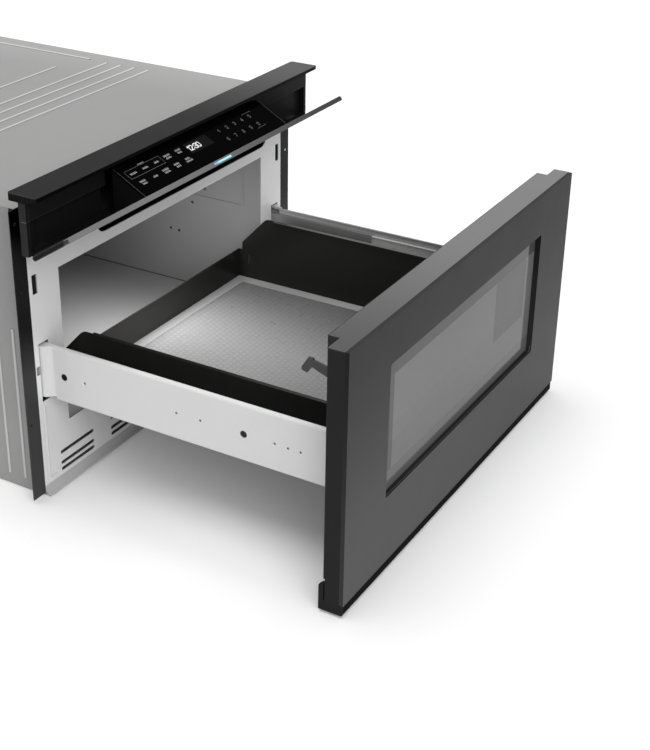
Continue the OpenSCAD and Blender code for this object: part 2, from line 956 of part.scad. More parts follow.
// Cavity liner: five walls, open at the front, with a pressed panel in each side wall
module cavity_liner() {
    color([0.62, 0.62, 0.62])
        difference() {
            union() {
                block([-liner_out, liner_out], [plate_back_y, cavity_back_y],
                      [cavity_floor_z - cavity_t, ceiling_top_z]);
                both_sides()
                    along_x([liner_out, liner_out + panel_emboss_t])
                        emboss_outline(0);
            }
            block([-cavity_half, cavity_half], [plate_back_y - cut, cavity_d], [cavity_floor_z, ceiling_z]);
            both_sides()
                along_x([cavity_half - cut, cavity_half + panel_emboss_t])
                    emboss_outline(cavity_t);
            translate([0, stirrer_y, ceiling_z - cut])
                cylinder(h = cavity_t + 2 * cut, r = stirrer_hole_r);
            for (i = [-1 : 1])
                for (j = [-1 : 1])
                    translate([cavity_half - cut, lamp_y + i * lamp_step, lamp_z + j * lamp_step])
                        rotate([0, 90, 0])
                            cylinder(h = panel_emboss_t + cavity_t + 2 * cut, r = lamp_hole_r);
            for (dot = wall_dots)
                translate([cavity_half - cut, dot[0], dot[1]])
                    rotate([0, 90, 0])
                        cylinder(h = panel_emboss_t + cavity_t + 2 * cut, r = wall_dot_r);
        }
}

// Mica cover under the stirrer opening
module stirrer_cover() {
    half = stirrer_hole_r + cover_over;
    color([0.8, 0.78, 0.7])
        translate([0, stirrer_y, 0])
            along_z([ceiling_z - cover_t, ceiling_z])
                round_rect([-half, half], [-half, half], cover_over);
}

// Lamp holder outside the cavity's right wall
module cavity_lamp() {
    x0 = liner_out + panel_emboss_t;
    color([0.8, 0.8, 0.76]) {
        difference() {
            block([x0, x0 + lamp_d], [lamp_y - lamp_w / 2, lamp_y + lamp_w / 2],
                  [lamp_z - lamp_h / 2, lamp_z + lamp_h / 2]);
            block([x0 - cut, x0 + lamp_d - lamp_wall],
                  [lamp_y - lamp_w / 2 + lamp_wall, lamp_y + lamp_w / 2 - lamp_wall],
                  [lamp_z - lamp_h / 2 + lamp_wall, lamp_z + lamp_h / 2 - lamp_wall]);
        }
        translate([x0 + lamp_d - lamp_wall, lamp_y, lamp_z])
            rotate([0, -90, 0])
                rotate_extrude()
                    polygon([[0, 0], [bulb_r, 0], [bulb_r, bulb_r],
                             [bulb_r / 2, 2 * bulb_r], [0, 2 * bulb_r]]);
    }
}

// A C-shaped slide member in X and Z, with its web at x and its lips reaching to lip_x
module slide_profile(x, lip_x, half_h) {
    web = lip_x > x ? [x, x + slide_t] : [x - slide_t, x];
    lips = lip_x > x ? [x, lip_x] : [lip_x, x];
    rect(web, [slide_z - half_h, slide_z + half_h]);
    rect(lips, [slide_z - half_h, slide_z - half_h + slide_t]);
    rect(lips, [slide_z + half_h - slide_t, slide_z + half_h]);
}

// Half heights of the nested members
cabinet_half_h = slide_h / 2;
middle_half_h = cabinet_half_h - slide_t - slide_gap;
drawer_half_h = middle_half_h - slide_t - slide_gap;

// Fixed member of a slide
module slide_cabinet(right) {
    color(zinc)
        on_side(right)
            along_y([slide_start_y, slide_start_y + slide_len])
                slide_profile(slide_in, lip_out, cabinet_half_h);
}

// Middle member, half way out
module slide_middle(right) {
    start_y = slide_start_y + middle_set - travel / 2;
    color(zinc)
        on_side(right)
            along_y([start_y, start_y + slide_len - middle_short])
                slide_profile(middle_in, lip_out, middle_half_h);
}

// Drawer member, which moves with the arm
module slide_drawer(right) {
    end_y = slide_start_y + drawer_set;
    color(zinc)
        on_side(right)
            along_y([end_y - slide_len + drawer_short, end_y])
                slide_profile(arm_in, lip_in, drawer_half_h);
}

// Brackets that carry the cabinet members on the liner's side walls
module slide_brackets() {
    z_range = [slide_z - bracket_h / 2, slide_z + bracket_h / 2];
    color(zinc)
        both_sides()
            for (y = bracket_ys)
                along_y([y, y + bracket_len]) {
                    rect([liner_out, liner_out + bracket_t], z_range);
                    rect([slide_in - bracket_t, slide_in], z_range);
                    rect([liner_out, slide_in], [slide_z - bracket_t / 2, slide_z + bracket_t / 2]);
                }
}

// Plan of an arm's web, with its tail flared outwards behind the plate
function web_x(y) = arm_out + flare_out * ease((y - flare_start_y) / flare_len);

module arm_web_plan() {
    ys = [for (i = [0 : flare_steps]) flare_start_y + flare_len * i / flare_steps];
    polygon(concat(
        [for (y = ys) [web_x(y), y]],
        [[web_x(arm_tail), arm_tail], [web_x(arm_tail) - arm_t, arm_tail]],
        [for (i = [flare_steps : -1 : 0]) [web_x(ys[i]) - arm_t, ys[i]]]
    ));
}

// The flat of a flange behind the flare, from x0 out to the web
module arm_flange_plan(x0) {
    ys = [for (i = [0 : flare_steps]) flare_start_y + flare_len * i / flare_steps];
    polygon(concat(
        [[x0, flare_start_y]],
        [for (y = ys) [web_x(y) - arm_t / 2, y]],
        [[web_x(arm_tail) - arm_t / 2, arm_tail], [x0, arm_tail]]
    ));
}

// C-section of an arm in X and Z with bent corners
module arm_section() {
    top_z = arm_bottom_z + arm_h;
    far_x = arm_out - 2 * arm_low_flange_w;
    difference() {
        round_rect([far_x, arm_out], [arm_bottom_z, top_z], arm_bend_r);
        round_rect([far_x - arm_bend_r, arm_in], [arm_bottom_z + arm_t, top_z - arm_t], arm_bend_r - arm_t);
        rect([far_x - cut, arm_out - arm_low_flange_w], [arm_bottom_z - cut, slide_z]);
        rect([far_x - cut, arm_out - arm_flange_w], [slide_z - cut, top_z + cut]);
    }
}

// White drawer arm on the right, from the door to inside the chassis
module drawer_arm() {
    top_z = arm_bottom_z + arm_h;
    color(plate_white)
        difference() {
            union() {
                along_y([door_back_y, flare_start_y])
                    arm_section();
                along_z([arm_bottom_z + tail_lift, top_z])
                    arm_web_plan();
                along_z([top_z - arm_t, top_z])
                    arm_flange_plan(arm_out - arm_flange_w);
            }
            for (i = [0 : len(arm_hole_ys) - 1])
                arm_hole(arm_hole_ys[i], arm_hole_rs[i]);
            for (y = pilot_ys)
                arm_hole(y, pilot_r);
            for (y = dimple_ys)
                translate([arm_out + dimple_r / 2, y, arm_bottom_z + arm_hole_z])
                    sphere(dimple_r);
        }
}

// A hole through an arm's web
module arm_hole(y, r) {
    translate([arm_out + cut, y, arm_bottom_z + arm_hole_z])
        rotate([0, -90, 0])
            cylinder(h = arm_t + 2 * cut, r = r);
}

// Teeth of the rack in plan, pointing at the pinion
module rack_plan() {
    tan_a = tan(pressure_angle);
    tip_half = tooth_pitch / 4 - rack_addendum * tan_a - backlash / 2;
    root_half = tooth_pitch / 4 + rack_dedendum * tan_a - backlash / 2;
    tip_x = rack_pitch_x - rack_addendum;
    root_x = rack_pitch_x + rack_dedendum;
    first = -rack_front_teeth;
    last = rack_back_teeth;
    y_low = pinion_y + (first - 1 / 2) * tooth_pitch;
    y_high = pinion_y + (last + 1 / 2) * tooth_pitch;
    polygon(concat(
        [[arm_in, y_low], [root_x, y_low]],
        [for (k = [first : last])
            for (p = [[root_x, -root_half], [tip_x, -tip_half], [tip_x, tip_half], [root_x, root_half]])
                [p[0], pinion_y + k * tooth_pitch + p[1]]],
        [[root_x, y_high], [arm_in, y_high]]
    ));
}

// Rack fixed in the right arm
module drawer_rack() {
    color([0.85, 0.85, 0.8])
        along_z([arm_bottom_z + arm_bend_r, arm_bottom_z + arm_bend_r + rack_h])
            rack_plan();
}

// Angle of the involute at radius r, and the half angle of a tooth there
function involute(r) = tan(acos(base_r / r)) * 180 / PI - acos(base_r / r);
function tooth_half(r) =
    90 / pinion_teeth - backlash_angle / 2 + involute(pitch_r) - involute(max(r, base_r));

module pinion_plan() {
    radii = [for (i = [0 : flank_steps]) base_r + (tip_r - base_r) * i / flank_steps];
    polygon([for (k = [0 : pinion_teeth - 1])
        let (mid = (k + 1 / 2) * 360 / pinion_teeth, foot = tooth_half(base_r))
        each concat(
            [[root_r * cos(mid - foot), root_r * sin(mid - foot)]],
            [for (r = radii) [r * cos(mid - tooth_half(r)), r * sin(mid - tooth_half(r))]],
            [for (i = [flank_steps : -1 : 0])
                [radii[i] * cos(mid + tooth_half(radii[i])), radii[i] * sin(mid + tooth_half(radii[i]))]],
            [[root_r * cos(mid + foot), root_r * sin(mid + foot)]]
        )]);
}

// Pinion on its shaft, which runs in the gearbox
module drive_pinion() {
    low_z = arm_bottom_z + pinion_lift;
    color([0.55, 0.5, 0.35])
        translate([pinion_x, pinion_y, 0]) {
            translate([0, 0, low_z])
                linear_extrude(pinion_h)
                    pinion_plan();
            translate([0, 0, low_z - gearbox_h / 2 - motor_top_gap])
                cylinder(h = gearbox_h / 2 + motor_top_gap + pinion_h / 2, r = pinion_shaft_r);
        }
}

// Gear motor under the right arm, with its gearbox bolted to the liner's side wall
module drive_motor() {
    top_z = arm_bottom_z - motor_top_gap;
    low_z = top_z - gearbox_h;
    x0 = liner_out;
    x1 = pinion_x + tip_r;
    front_y = pinion_y - gearbox_front;
    motor_y = front_y + gearbox_len - gearbox_front;
    color(zinc)
        difference() {
            union() {
                block([x0, x1], [front_y, front_y + gearbox_len], [low_z, top_z]);
                translate([x0 + motor_r, motor_y, low_z - motor_h])
                    cylinder(h = motor_h, r = motor_r);
            }
            translate([pinion_x, pinion_y, low_z - cut])
                cylinder(h = gearbox_h + 2 * cut, r = pinion_shaft_r + shaft_gap);
        }
}

// Latch housing behind the right latch slot, with its door switch
module latch_housing() {
    z_mid = latch_block_z + latch_block_h / 2;
    color([0.75, 0.75, 0.7]) {
        difference() {
            block([latch_block_in, latch_block_out], [plate_back_y, latch_block_len],
                  [latch_block_z, latch_block_z + latch_block_h]);
            block([latch_slot_in, latch_slot_in + latch_slot_w], [plate_back_y - cut, latch_pocket_d],
                  [latch_pocket_z, latch_pocket_z + latch_pocket_h]);
        }
        block([latch_block_in - switch_w, latch_block_in],
              [latch_block_len - switch_len, latch_block_len], [z_mid - switch_h / 2, z_mid + switch_h / 2]);
    }
}

// Waveguide: stirrer chamber and duct, folded from sheet
module waveguide() {
    duct_end = back_y - guide_end_gap;
    z0 = ceiling_top_z;
    z1 = z0 + guide_h;
    chamber = [stirrer_y - chamber_w / 2, stirrer_y + chamber_w / 2];
    color(zinc)
        difference() {
            union() {
                block([-chamber_w / 2, chamber_w / 2], chamber, [z0, z1]);
                block([-guide_w / 2, guide_w / 2], [stirrer_y, duct_end], [z0, z1]);
            }
            block([-chamber_w / 2 + guide_t, chamber_w / 2 - guide_t],
                  [chamber[0] + guide_t, chamber[1] - guide_t], [z0 + guide_t, z1 - guide_t]);
            block([-guide_w / 2 + guide_t, guide_w / 2 - guide_t], [stirrer_y, duct_end - guide_t],
                  [z0 + guide_t, z1 - guide_t]);
            translate([0, stirrer_y, z0 - cut])
                cylinder(h = guide_t + 2 * cut, r = stirrer_hole_r);
            translate([0, stirrer_y, z1 - guide_t - cut])
                cylinder(h = guide_t + 2 * cut, r = stirrer_shaft_r + shaft_gap);
            translate([0, magnetron_y, z0 - cut])
                cylinder(h = guide_t + 2 * cut, r = antenna_hole_r);
        }
}

// Stirrer motor on top of the waveguide
module stirrer_motor() {
    z0 = ceiling_top_z + guide_h;
    color([0.75, 0.7, 0.55])
        difference() {
            union() {
                translate([0, stirrer_y, z0])
                    cylinder(h = stirrer_motor_h, r = stirrer_motor_r);
                block([-stirrer_motor_r - stirrer_ear_len, stirrer_motor_r + stirrer_ear_len],
                      [stirrer_y - stirrer_ear_w / 2, stirrer_y + stirrer_ear_w / 2], [z0, z0 + guide_t]);
            }
            translate([0, stirrer_y, z0 - cut])
                cylinder(h = stirrer_motor_h * 3 / 4, r = stirrer_shaft_r + shaft_gap);
        }
}

// Stirrer fan: bent blades on a hub and shaft
module stirrer_fan() {
    z0 = ceiling_top_z + guide_t + stirrer_lift;
    color(zinc)
        translate([0, stirrer_y, z0]) {
            cylinder(h = stirrer_lift, r = 3 * stirrer_shaft_r);
            cylinder(h = guide_h - stirrer_lift - guide_t + stirrer_motor_h / 2, r = stirrer_shaft_r);
            intersection() {
                for (i = [0 : stirrer_blades - 1])
                    rotate([0, 0, i * 360 / stirrer_blades])
                        translate([0, 0, stirrer_lift / 2])
                            rotate([fan_blade_pitch / 2, 0, 0])
                                block([2 * stirrer_shaft_r, stirrer_r], [-stirrer_lift, stirrer_lift],
                                      [-stirrer_blade_t / 2, stirrer_blade_t / 2]);
                translate([0, 0, -stirrer_lift])
                    cylinder(h = 3 * stirrer_lift, r = stirrer_r);
            }
        }
}

// Magnetron under the end of the waveguide: yoke, fins, anode and filter box
module magnetron() {
    z1 = ceiling_top_z;
    z0 = z1 - magnetron_h;
    yoke_half = magnetron_w / 2;
    half_d = magnetron_d / 2;
    fin_zone = magnetron_h - filter_h - 2 * magnetron_t;
    color(zinc)
        translate([0, magnetron_y, 0]) {
            block([-yoke_half, yoke_half], [-half_d, half_d], [z1 - magnetron_t, z1]);
            for (y = [-half_d, half_d - magnetron_t])
                block([-yoke_half, yoke_half], [y, y + magnetron_t], [z0 + filter_h, z1 - magnetron_t]);
            block([-yoke_half, yoke_half], [-half_d, half_d], [z0, z0 + filter_h]);
            for (i = [1 : fin_count])
                translate([0, 0, z0 + filter_h + fin_zone * i / (fin_count + 1)])
                    block([-yoke_half + magnetron_t, yoke_half - magnetron_t],
                          [-half_d + magnetron_t, half_d - magnetron_t], [0, fin_t]);
            translate([0, 0, z0 + filter_h])
                cylinder(h = magnetron_h - filter_h - magnetron_t, r = anode_r);
            translate([0, 0, z1])
                cylinder(h = antenna_h, r = antenna_r);
        }
}

// Fan shroud beside the magnetron, on a leg that stands on the base pan
module fan_shroud() {
    half = shroud_w / 2;
    color(black_matt) {
        difference() {
            block([fan_x, fan_x + shroud_d], [fan_y - half, fan_y + half], [fan_z - half, fan_z + half]);
            translate([fan_x - cut, fan_y, fan_z])
                rotate([0, 90, 0])
                    cylinder(h = shroud_d + 2 * cut, r = fan_r + fan_gap);
        }
        block([fan_x, fan_x + shroud_t], [fan_y - half, fan_y + half], [pan_t, fan_z - half]);
        block([fan_x, fan_x + shroud_d], [fan_y - half, fan_y + half], [pan_t, pan_t + shroud_t]);
    }
}

// Fan motor on a four-armed spider fixed to the shroud
module fan_motor() {
    x0 = fan_x + shroud_d;
    reach = shroud_w / 2;
    color([0.5, 0.5, 0.52])
        difference() {
            union() {
                translate([x0 + spider_w, fan_y, fan_z])
                    rotate([0, 90, 0])
                        cylinder(h = fan_motor_d, r = fan_motor_r);
                block([x0, x0 + spider_w], [fan_y - reach, fan_y + reach],
                      [fan_z - spider_w / 2, fan_z + spider_w / 2]);
                block([x0, x0 + spider_w], [fan_y - spider_w / 2, fan_y + spider_w / 2],
                      [fan_z - reach, fan_z + reach]);
            }
            translate([x0 - cut, fan_y, fan_z])
                rotate([0, 90, 0])
                    cylinder(h = spider_w + fan_motor_d / 2, r = fan_shaft_r + shaft_gap);
        }
}

// Cooling fan: pitched blades on a hub, with the shaft that runs in the motor
module cooling_fan() {
    x0 = fan_x + (shroud_d - fan_hub_d) / 2;
    color([0.2, 0.2, 0.22])
        translate([x0, fan_y, fan_z])
            rotate([0, 90, 0]) {
                cylinder(h = fan_hub_d, r = fan_hub_r);
                cylinder(h = fan_hub_d + spider_w + fan_motor_d / 4, r = fan_shaft_r);
                intersection() {
                    for (i = [0 : fan_blades - 1])
                        rotate([0, 0, i * 360 / fan_blades])
                            translate([0, 0, fan_hub_d / 2])
                                rotate([fan_blade_pitch, 0, 0])
                                    block([fan_hub_r / 2, fan_r], [-fan_hub_r, fan_hub_r],
                                          [-fan_blade_t / 2, fan_blade_t / 2]);
                    cylinder(h = fan_hub_d, r = fan_r);
                }
            }
}

// High-voltage transformer: laminated core and its windings
module transformer() {
    color([0.35, 0.33, 0.3])
        translate([core_x, fan_y, 0]) {
            block([-core_w / 2, core_w / 2], [-core_d / 2, core_d / 2], [pan_t, pan_t + core_h]);
            translate([0, 0, pan_t + (core_h - coil_h) / 2])
                linear_extrude(coil_h)
                    round_rect([-coil_w / 2, coil_w / 2], [-coil_d / 2, coil_d / 2], coil_corner_r);
        }
}

// High-voltage capacitor: an oval can with two terminals
module capacitor() {
    color([0.75, 0.75, 0.72])
        translate([capacitor_x, fan_y, pan_t]) {
            linear_extrude(capacitor_h)
                slot([-capacitor_w / 2, capacitor_w / 2], [-capacitor_d / 2, capacitor_d / 2]);
            for (x = [-capacitor_w / 4, capacitor_w / 4])
                translate([x, 0, capacitor_h])
                    cylinder(h = terminal_h, r = terminal_r);
        }
}

// Places of the control board's posts
function post_places() =
    [for (sx = [-1, 1]) for (sy = [-1, 1])
        [carrier_x + sx * (carrier_w / 2 - 2 * post_r), carrier_y + sy * (carrier_d / 2 - 2 * post_r)]];

// Plastic carrier for the control board, on top of the cavity
module board_carrier() {
    color([0.85, 0.85, 0.82]) {
        block([carrier_x - carrier_w / 2, carrier_x + carrier_w / 2],
              [carrier_y - carrier_d / 2, carrier_y + carrier_d / 2],
              [ceiling_top_z, ceiling_top_z + carrier_t]);
        for (p = post_places())
            translate([p[0], p[1], ceiling_top_z + carrier_t])
                cylinder(h = post_h, r = post_r);
    }
}

// Control board with its relays and supply transformer
module control_board() {
    z0 = ceiling_top_z + carrier_t + post_h;
    x0 = carrier_x - carrier_w / 2 + board_inset;
    y0 = carrier_y - carrier_d / 2 + board_inset;
    color([0.15, 0.35, 0.2]) {
        block([x0, carrier_x + carrier_w / 2 - board_inset],
              [y0, carrier_y + carrier_d / 2 - board_inset], [z0, z0 + board_t]);
        for (i = [0 : relay_count - 1])
            translate([0, y0 + relay_w * (2 * i + 1 / 2), z0 + board_t])
                block([x0 + relay_w, x0 + 2 * relay_w], [0, relay_w], [0, relay_h]);
        block([carrier_x, carrier_x + 2 * relay_w], [carrier_y, carrier_y + 2 * relay_w],
              [z0 + board_t, z0 + board_t + 2 * relay_h]);
    }
}

// Gland for the supply cord in the back panel
module cord_gland() {
    color(black_matt)
        translate([gland_x, chassis_d, gland_z])
            rotate([90, 0, 0])
                difference() {
                    union() {
                        translate([0, 0, -gland_len / 2])
                            cylinder(h = gland_len / 2, r = gland_r);
                        cylinder(h = gland_len / 2, r = gland_neck_r);
                    }
                    translate([0, 0, -gland_len / 2 - cut])
                        cylinder(h = gland_len + 2 * cut, r = gland_bore_r);
                }
}

// Screw heads that hold the back panel
module panel_screws() {
    color(zinc)
        for (z = back_screw_zs)
            for (side = [-1, 1])
                translate([side * (half_w - back_screw_inset), chassis_d + screw_head_h, z])
                    rotate([90, 0, 0])
                        cylinder(h = screw_head_h, r = screw_head_r);
}

// Outline in X and Z of the window in the front sheet, grown by a rim
module window_outline(grow) {
    rect([-window_w / 2 - grow, window_w / 2 + grow], [window_z - grow, window_z + window_h + grow]);
}

// Front sheet of the door with folded edges, and a deeper fold round the window that the glass bears on
module door_front() {
    inner = door_half - front_sheet_t;
    color(black_steel)
        difference() {
            union() {
                along_y([door_front_y, front_back_y])
                    difference() {
                        round_rect([-door_half, door_half], [door_bottom_z, door_top_z], front_edge_r);
                        difference() {
                            rect([-inner, inner],
                                 [door_bottom_z + front_sheet_t, door_top_z - front_sheet_t]);
                            window_outline(rim_t);
                        }
                    }
                along_y([door_front_y, door_front_y + front_sheet_t])
                    round_rect([-door_half, door_half], [door_bottom_z, door_top_z], front_edge_r);
                along_y([front_back_y, glass_front_y])
                    window_outline(rim_t);
            }
            along_y([door_front_y - cut, glass_front_y + cut])
                window_outline(0);
        }
}

// Door frame: side panels and bottom channel behind the front sheet
module door_frame() {
    side_back_y = door_pan_front_y - side_set;
    color(black_matt) {
        both_sides()
            block([door_half - frame_t, door_half], [front_back_y, side_back_y],
                  [door_bottom_z, door_top_z - frame_t]);
        block([-door_half + frame_t, door_half - frame_t], [front_back_y, side_back_y],
              [door_bottom_z, door_bottom_z + frame_t]);
        both_sides()
            block([door_half - frame_t - return_w, door_half - frame_t], [side_back_y - frame_t, side_back_y],
                  [door_bottom_z + frame_t, door_top_z - frame_t]);
    }
}

// Top cap of the door, notched at its rear corners
module door_top_cap() {
    color(black_steel)
        along_z([door_top_z - frame_t, door_top_z]) {
            rect([-door_half, door_half], [front_back_y, door_pan_front_y]);
            rect([-door_pan_half, door_pan_half], [door_pan_front_y - cut, door_back_y]);
        }
}

// Pressed pan on the back of the door, with the inner window opening
module door_pan() {
    low_z = door_bottom_z + pan_clear;
    high_z = door_top_z - frame_t;
    color(plate_white)
        difference() {
            block([-door_pan_half, door_pan_half], [door_pan_front_y, door_back_y], [low_z, high_z]);
            block([-door_pan_half + door_pan_t, door_pan_half - door_pan_t],
                  [door_pan_front_y - cut, door_back_y - door_pan_t],
                  [low_z + door_pan_t, high_z - door_pan_t]);
            along_y([door_pan_front_y, door_back_y + cut])
                round_rect([-clear_w / 2, clear_w / 2], [clear_z, clear_z + clear_h], pan_clear);
        }
}

// Outer window glass behind the front sheet
module outer_glass() {
    color([0.35, 0.36, 0.37, 0.6])
        along_y([glass_front_y, glass_front_y + outer_glass_t])
            window_outline(outer_glass_over);
}

// Perforated screen inside the door pan, against the inner glass
module window_screen() {
    screen_back_y = door_back_y - door_pan_t - inner_glass_t;
    color([0.45, 0.45, 0.46])
        along_y([screen_back_y - screen_t, screen_back_y])
            window_outline(screen_over);
}

// Inner window glass, inside the door pan
module inner_glass() {
    color([0.6, 0.62, 0.63, 0.4])
        along_y([door_back_y - door_pan_t - inner_glass_t, door_back_y - door_pan_t])
            rect([-clear_w / 2 - inner_glass_over, clear_w / 2 + inner_glass_over],
                 [clear_z - inner_glass_over, clear_z + clear_h + inner_glass_over]);
}

// Trim under the door, with a foot at each end
module bottom_trim() {
    front_y = door_front_y + trim_set;
    z0 = door_bottom_z - trim_h;
    color(black_matt) {
        block([-door_half + front_edge_r, door_half - front_edge_r],
              [front_y, front_y + trim_wall], [z0, door_bottom_z]);
        block([-door_half + front_edge_r, door_half - front_edge_r],
              [front_y + trim_wall, door_pan_front_y - frame_t], [z0, z0 + trim_wall]);
        both_sides()
            along_x([door_half - foot_w, door_half])
                polygon([
                    [front_y, z0],
                    [door_back_y - foot_back, z0],
                    [door_back_y - foot_back, z0 + foot_h - foot_w],
                    [door_back_y - foot_back - foot_w, z0 + foot_h],
                    [door_pan_front_y, z0 + foot_h],
                    [door_pan_front_y, door_bottom_z],
                    [front_y, door_bottom_z]
                ]);
    }
}

// Latch hook on the back of the door: a tapered arm with a leaning head
module latch_hook() {
    color(zinc)
        translate([0, door_back_y, hook_z])
            along_x([hook_x - hook_t / 2, hook_x + hook_t / 2])
                polygon(hook_points);
}

// Outline of a basket side in Y and Z: level top, round shoulder, slope and stepped rear end
module basket_outline() {
    top_z = basket_bottom_z + basket_side_h;
    rear_y = basket_back_y - basket_rear_set;
    rear_z = basket_bottom_z + basket_rear_h;
    r = basket_corner_r;
    knee_y = rear_y - (top_z - rear_z) / tan(basket_slope);
    shoulder_y = knee_y - r * tan(basket_slope / 2);
    polygon(concat(
        [[basket_front_y, basket_bottom_z], [basket_front_y, top_z]],
        arc(shoulder_y, top_z - r, r, 90, 90 - basket_slope),
        [[rear_y, rear_z], [rear_y, basket_bottom_z + basket_back_h]],
        [[basket_back_y, basket_bottom_z + basket_back_h], [basket_back_y, basket_bottom_z]]
    ));
}

// Right side of the basket, with a folded lip along its top
module basket_side() {
    top_z = basket_bottom_z + basket_side_h;
    knee_y = basket_back_y - basket_rear_set - (basket_side_h - basket_rear_h) / tan(basket_slope);
    color(black_gloss) {
        along_x([basket_half - basket_t, basket_half])
            difference() {
                basket_outline();
                rect([side_slot_y, side_slot_y + side_slot_w], [side_slot_z, side_slot_z + side_slot_h]);
            }
        block([basket_half - basket_t - basket_lip_w, basket_half - basket_t],
              [basket_front_y, knee_y - basket_corner_r], [top_z - basket_lip_h, top_z]);
    }
}

// Back of the basket
module basket_back() {
    inner = basket_half - basket_t;
    color(black_gloss)
        block([-inner, inner], [basket_back_y - basket_t, basket_back_y],
              [basket_bottom_z, basket_bottom_z + basket_back_h]);
}

// Floor pan between the basket's sides
module basket_pan() {
    inner = basket_half - basket_t;
    color(black_matt)
        block([-inner, inner], [basket_front_y, basket_back_y - basket_t],
              [basket_bottom_z, basket_bottom_z + basket_pan_t]);
}

// Pale frame round the glass floor
module floor_frame() {
    inner = basket_half - basket_t;
    z0 = basket_bottom_z + basket_pan_t;
    back = basket_back_y - basket_t;
    color([0.8, 0.8, 0.79])
        along_z([z0, z0 + floor_glass_t])
            difference() {
                rect([-inner, inner], [basket_front_y, back]);
                rect([-inner + floor_rim_w, inner - floor_rim_w],
                     [basket_front_y + floor_rim_w, back - floor_rim_w]);
            }
}

// Glass floor of the drawer
module glass_floor() {
    inner = basket_half - basket_t - floor_rim_w - floor_gap;
    z0 = basket_bottom_z + basket_pan_t;
    back = basket_back_y - basket_t - floor_rim_w - floor_gap;
    color([0.75, 0.76, 0.76])
        along_z([z0, z0 + floor_glass_t - floor_gap])
            rect([-inner, inner], [basket_front_y + floor_rim_w + floor_gap, back]);
}

base_pan();
chassis_wrap();
back_panel();
front_plate();
on_side(false) mounting_flange();  // flange_left
on_side(true) mounting_flange();  // flange_right
hood_trim();
control_housing();
hinge_pins();
cavity_liner();
stirrer_cover();
cavity_lamp();
slide_cabinet(false);  // slide_cabinet_left
slide_cabinet(true);  // slide_cabinet_right
slide_brackets();
drive_motor();
on_side(false) latch_housing();  // latch_housing_left
on_side(true) latch_housing();  // latch_housing_right
waveguide();
stirrer_motor();
magnetron();
fan_shroud();
fan_motor();
transformer();
capacitor();
board_carrier();
control_board();
cord_gland();
panel_screws();
stirrer_fan();
cooling_fan();
drive_pinion();
slide_middle(false);  // slide_middle_left
slide_middle(true);  // slide_middle_right
on_side(false) drawer_arm();  // drawer_arm_left
on_side(true) drawer_arm();  // drawer_arm_right
slide_drawer(false);  // slide_drawer_left
slide_drawer(true);  // slide_drawer_right
drawer_rack();
door_front();
door_frame();
door_top_cap();
door_pan();
outer_glass();
inner_glass();
window_screen();
bottom_trim();
on_side(false) latch_hook();  // latch_hook_left
on_side(true) latch_hook();  // latch_hook_right
on_side(false) basket_side();  // basket_side_left
on_side(true) basket_side();  // basket_side_right
basket_back();
basket_pan();
floor_frame();
glass_floor();
flap_panel();
flap_module();
touch_glass();
light_bar();
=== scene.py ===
"""Looks of a built-in microwave drawer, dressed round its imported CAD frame.

The drawer is pulled out and the control flap is tilted open. Every piece lies in the CAD's
own frame: +X points right as seen from the front, +Y into the cabinet, +Z up. Blender's
lengths are in metres, and the sizes written here are in millimetres.
"""

from __future__ import annotations

import json
import logging
import math
from dataclasses import dataclass
from enum import Enum
from functools import cached_property
from typing import Any, Iterable, Union

import bpy
import numpy as np
from mathutils import Matrix, Vector

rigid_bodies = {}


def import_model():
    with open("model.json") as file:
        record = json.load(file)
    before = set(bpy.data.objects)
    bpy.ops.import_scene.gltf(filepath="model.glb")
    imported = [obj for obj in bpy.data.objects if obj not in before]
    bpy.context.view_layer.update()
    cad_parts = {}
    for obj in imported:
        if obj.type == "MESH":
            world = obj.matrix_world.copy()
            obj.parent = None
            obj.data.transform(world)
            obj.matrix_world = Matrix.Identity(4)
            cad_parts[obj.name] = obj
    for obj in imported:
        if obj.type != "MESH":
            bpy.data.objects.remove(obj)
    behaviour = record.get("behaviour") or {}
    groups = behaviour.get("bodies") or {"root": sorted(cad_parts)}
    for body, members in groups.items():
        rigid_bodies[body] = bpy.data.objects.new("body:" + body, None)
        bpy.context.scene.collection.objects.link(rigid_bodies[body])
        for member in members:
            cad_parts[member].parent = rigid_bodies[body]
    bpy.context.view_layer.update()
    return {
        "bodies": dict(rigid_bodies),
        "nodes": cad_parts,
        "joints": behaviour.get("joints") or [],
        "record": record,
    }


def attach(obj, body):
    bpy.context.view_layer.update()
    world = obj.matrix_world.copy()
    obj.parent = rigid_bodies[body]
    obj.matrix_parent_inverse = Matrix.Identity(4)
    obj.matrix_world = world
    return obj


LOG = logging.getLogger("microwave_drawer")
MM = 0.001

Array = np.ndarray
Socket = bpy.types.NodeSocket
Number = Union["Signal", float]
Pair = tuple[float, float]
Triple = tuple[float, float, float]
Colour = tuple[float, float, float]
Span = tuple[float | None, float | None]

OPEN: Span = (None, None)
WHITE: Colour = (1.0, 1.0, 1.0)
SKIN = 0.3  # millimetres from an edge within which a place counts as on the edge's own face


class Axis(Enum):
    """Axes of the object's own coordinates."""

    X = 0
    Y = 1
    Z = 2


X, Y, Z = Axis


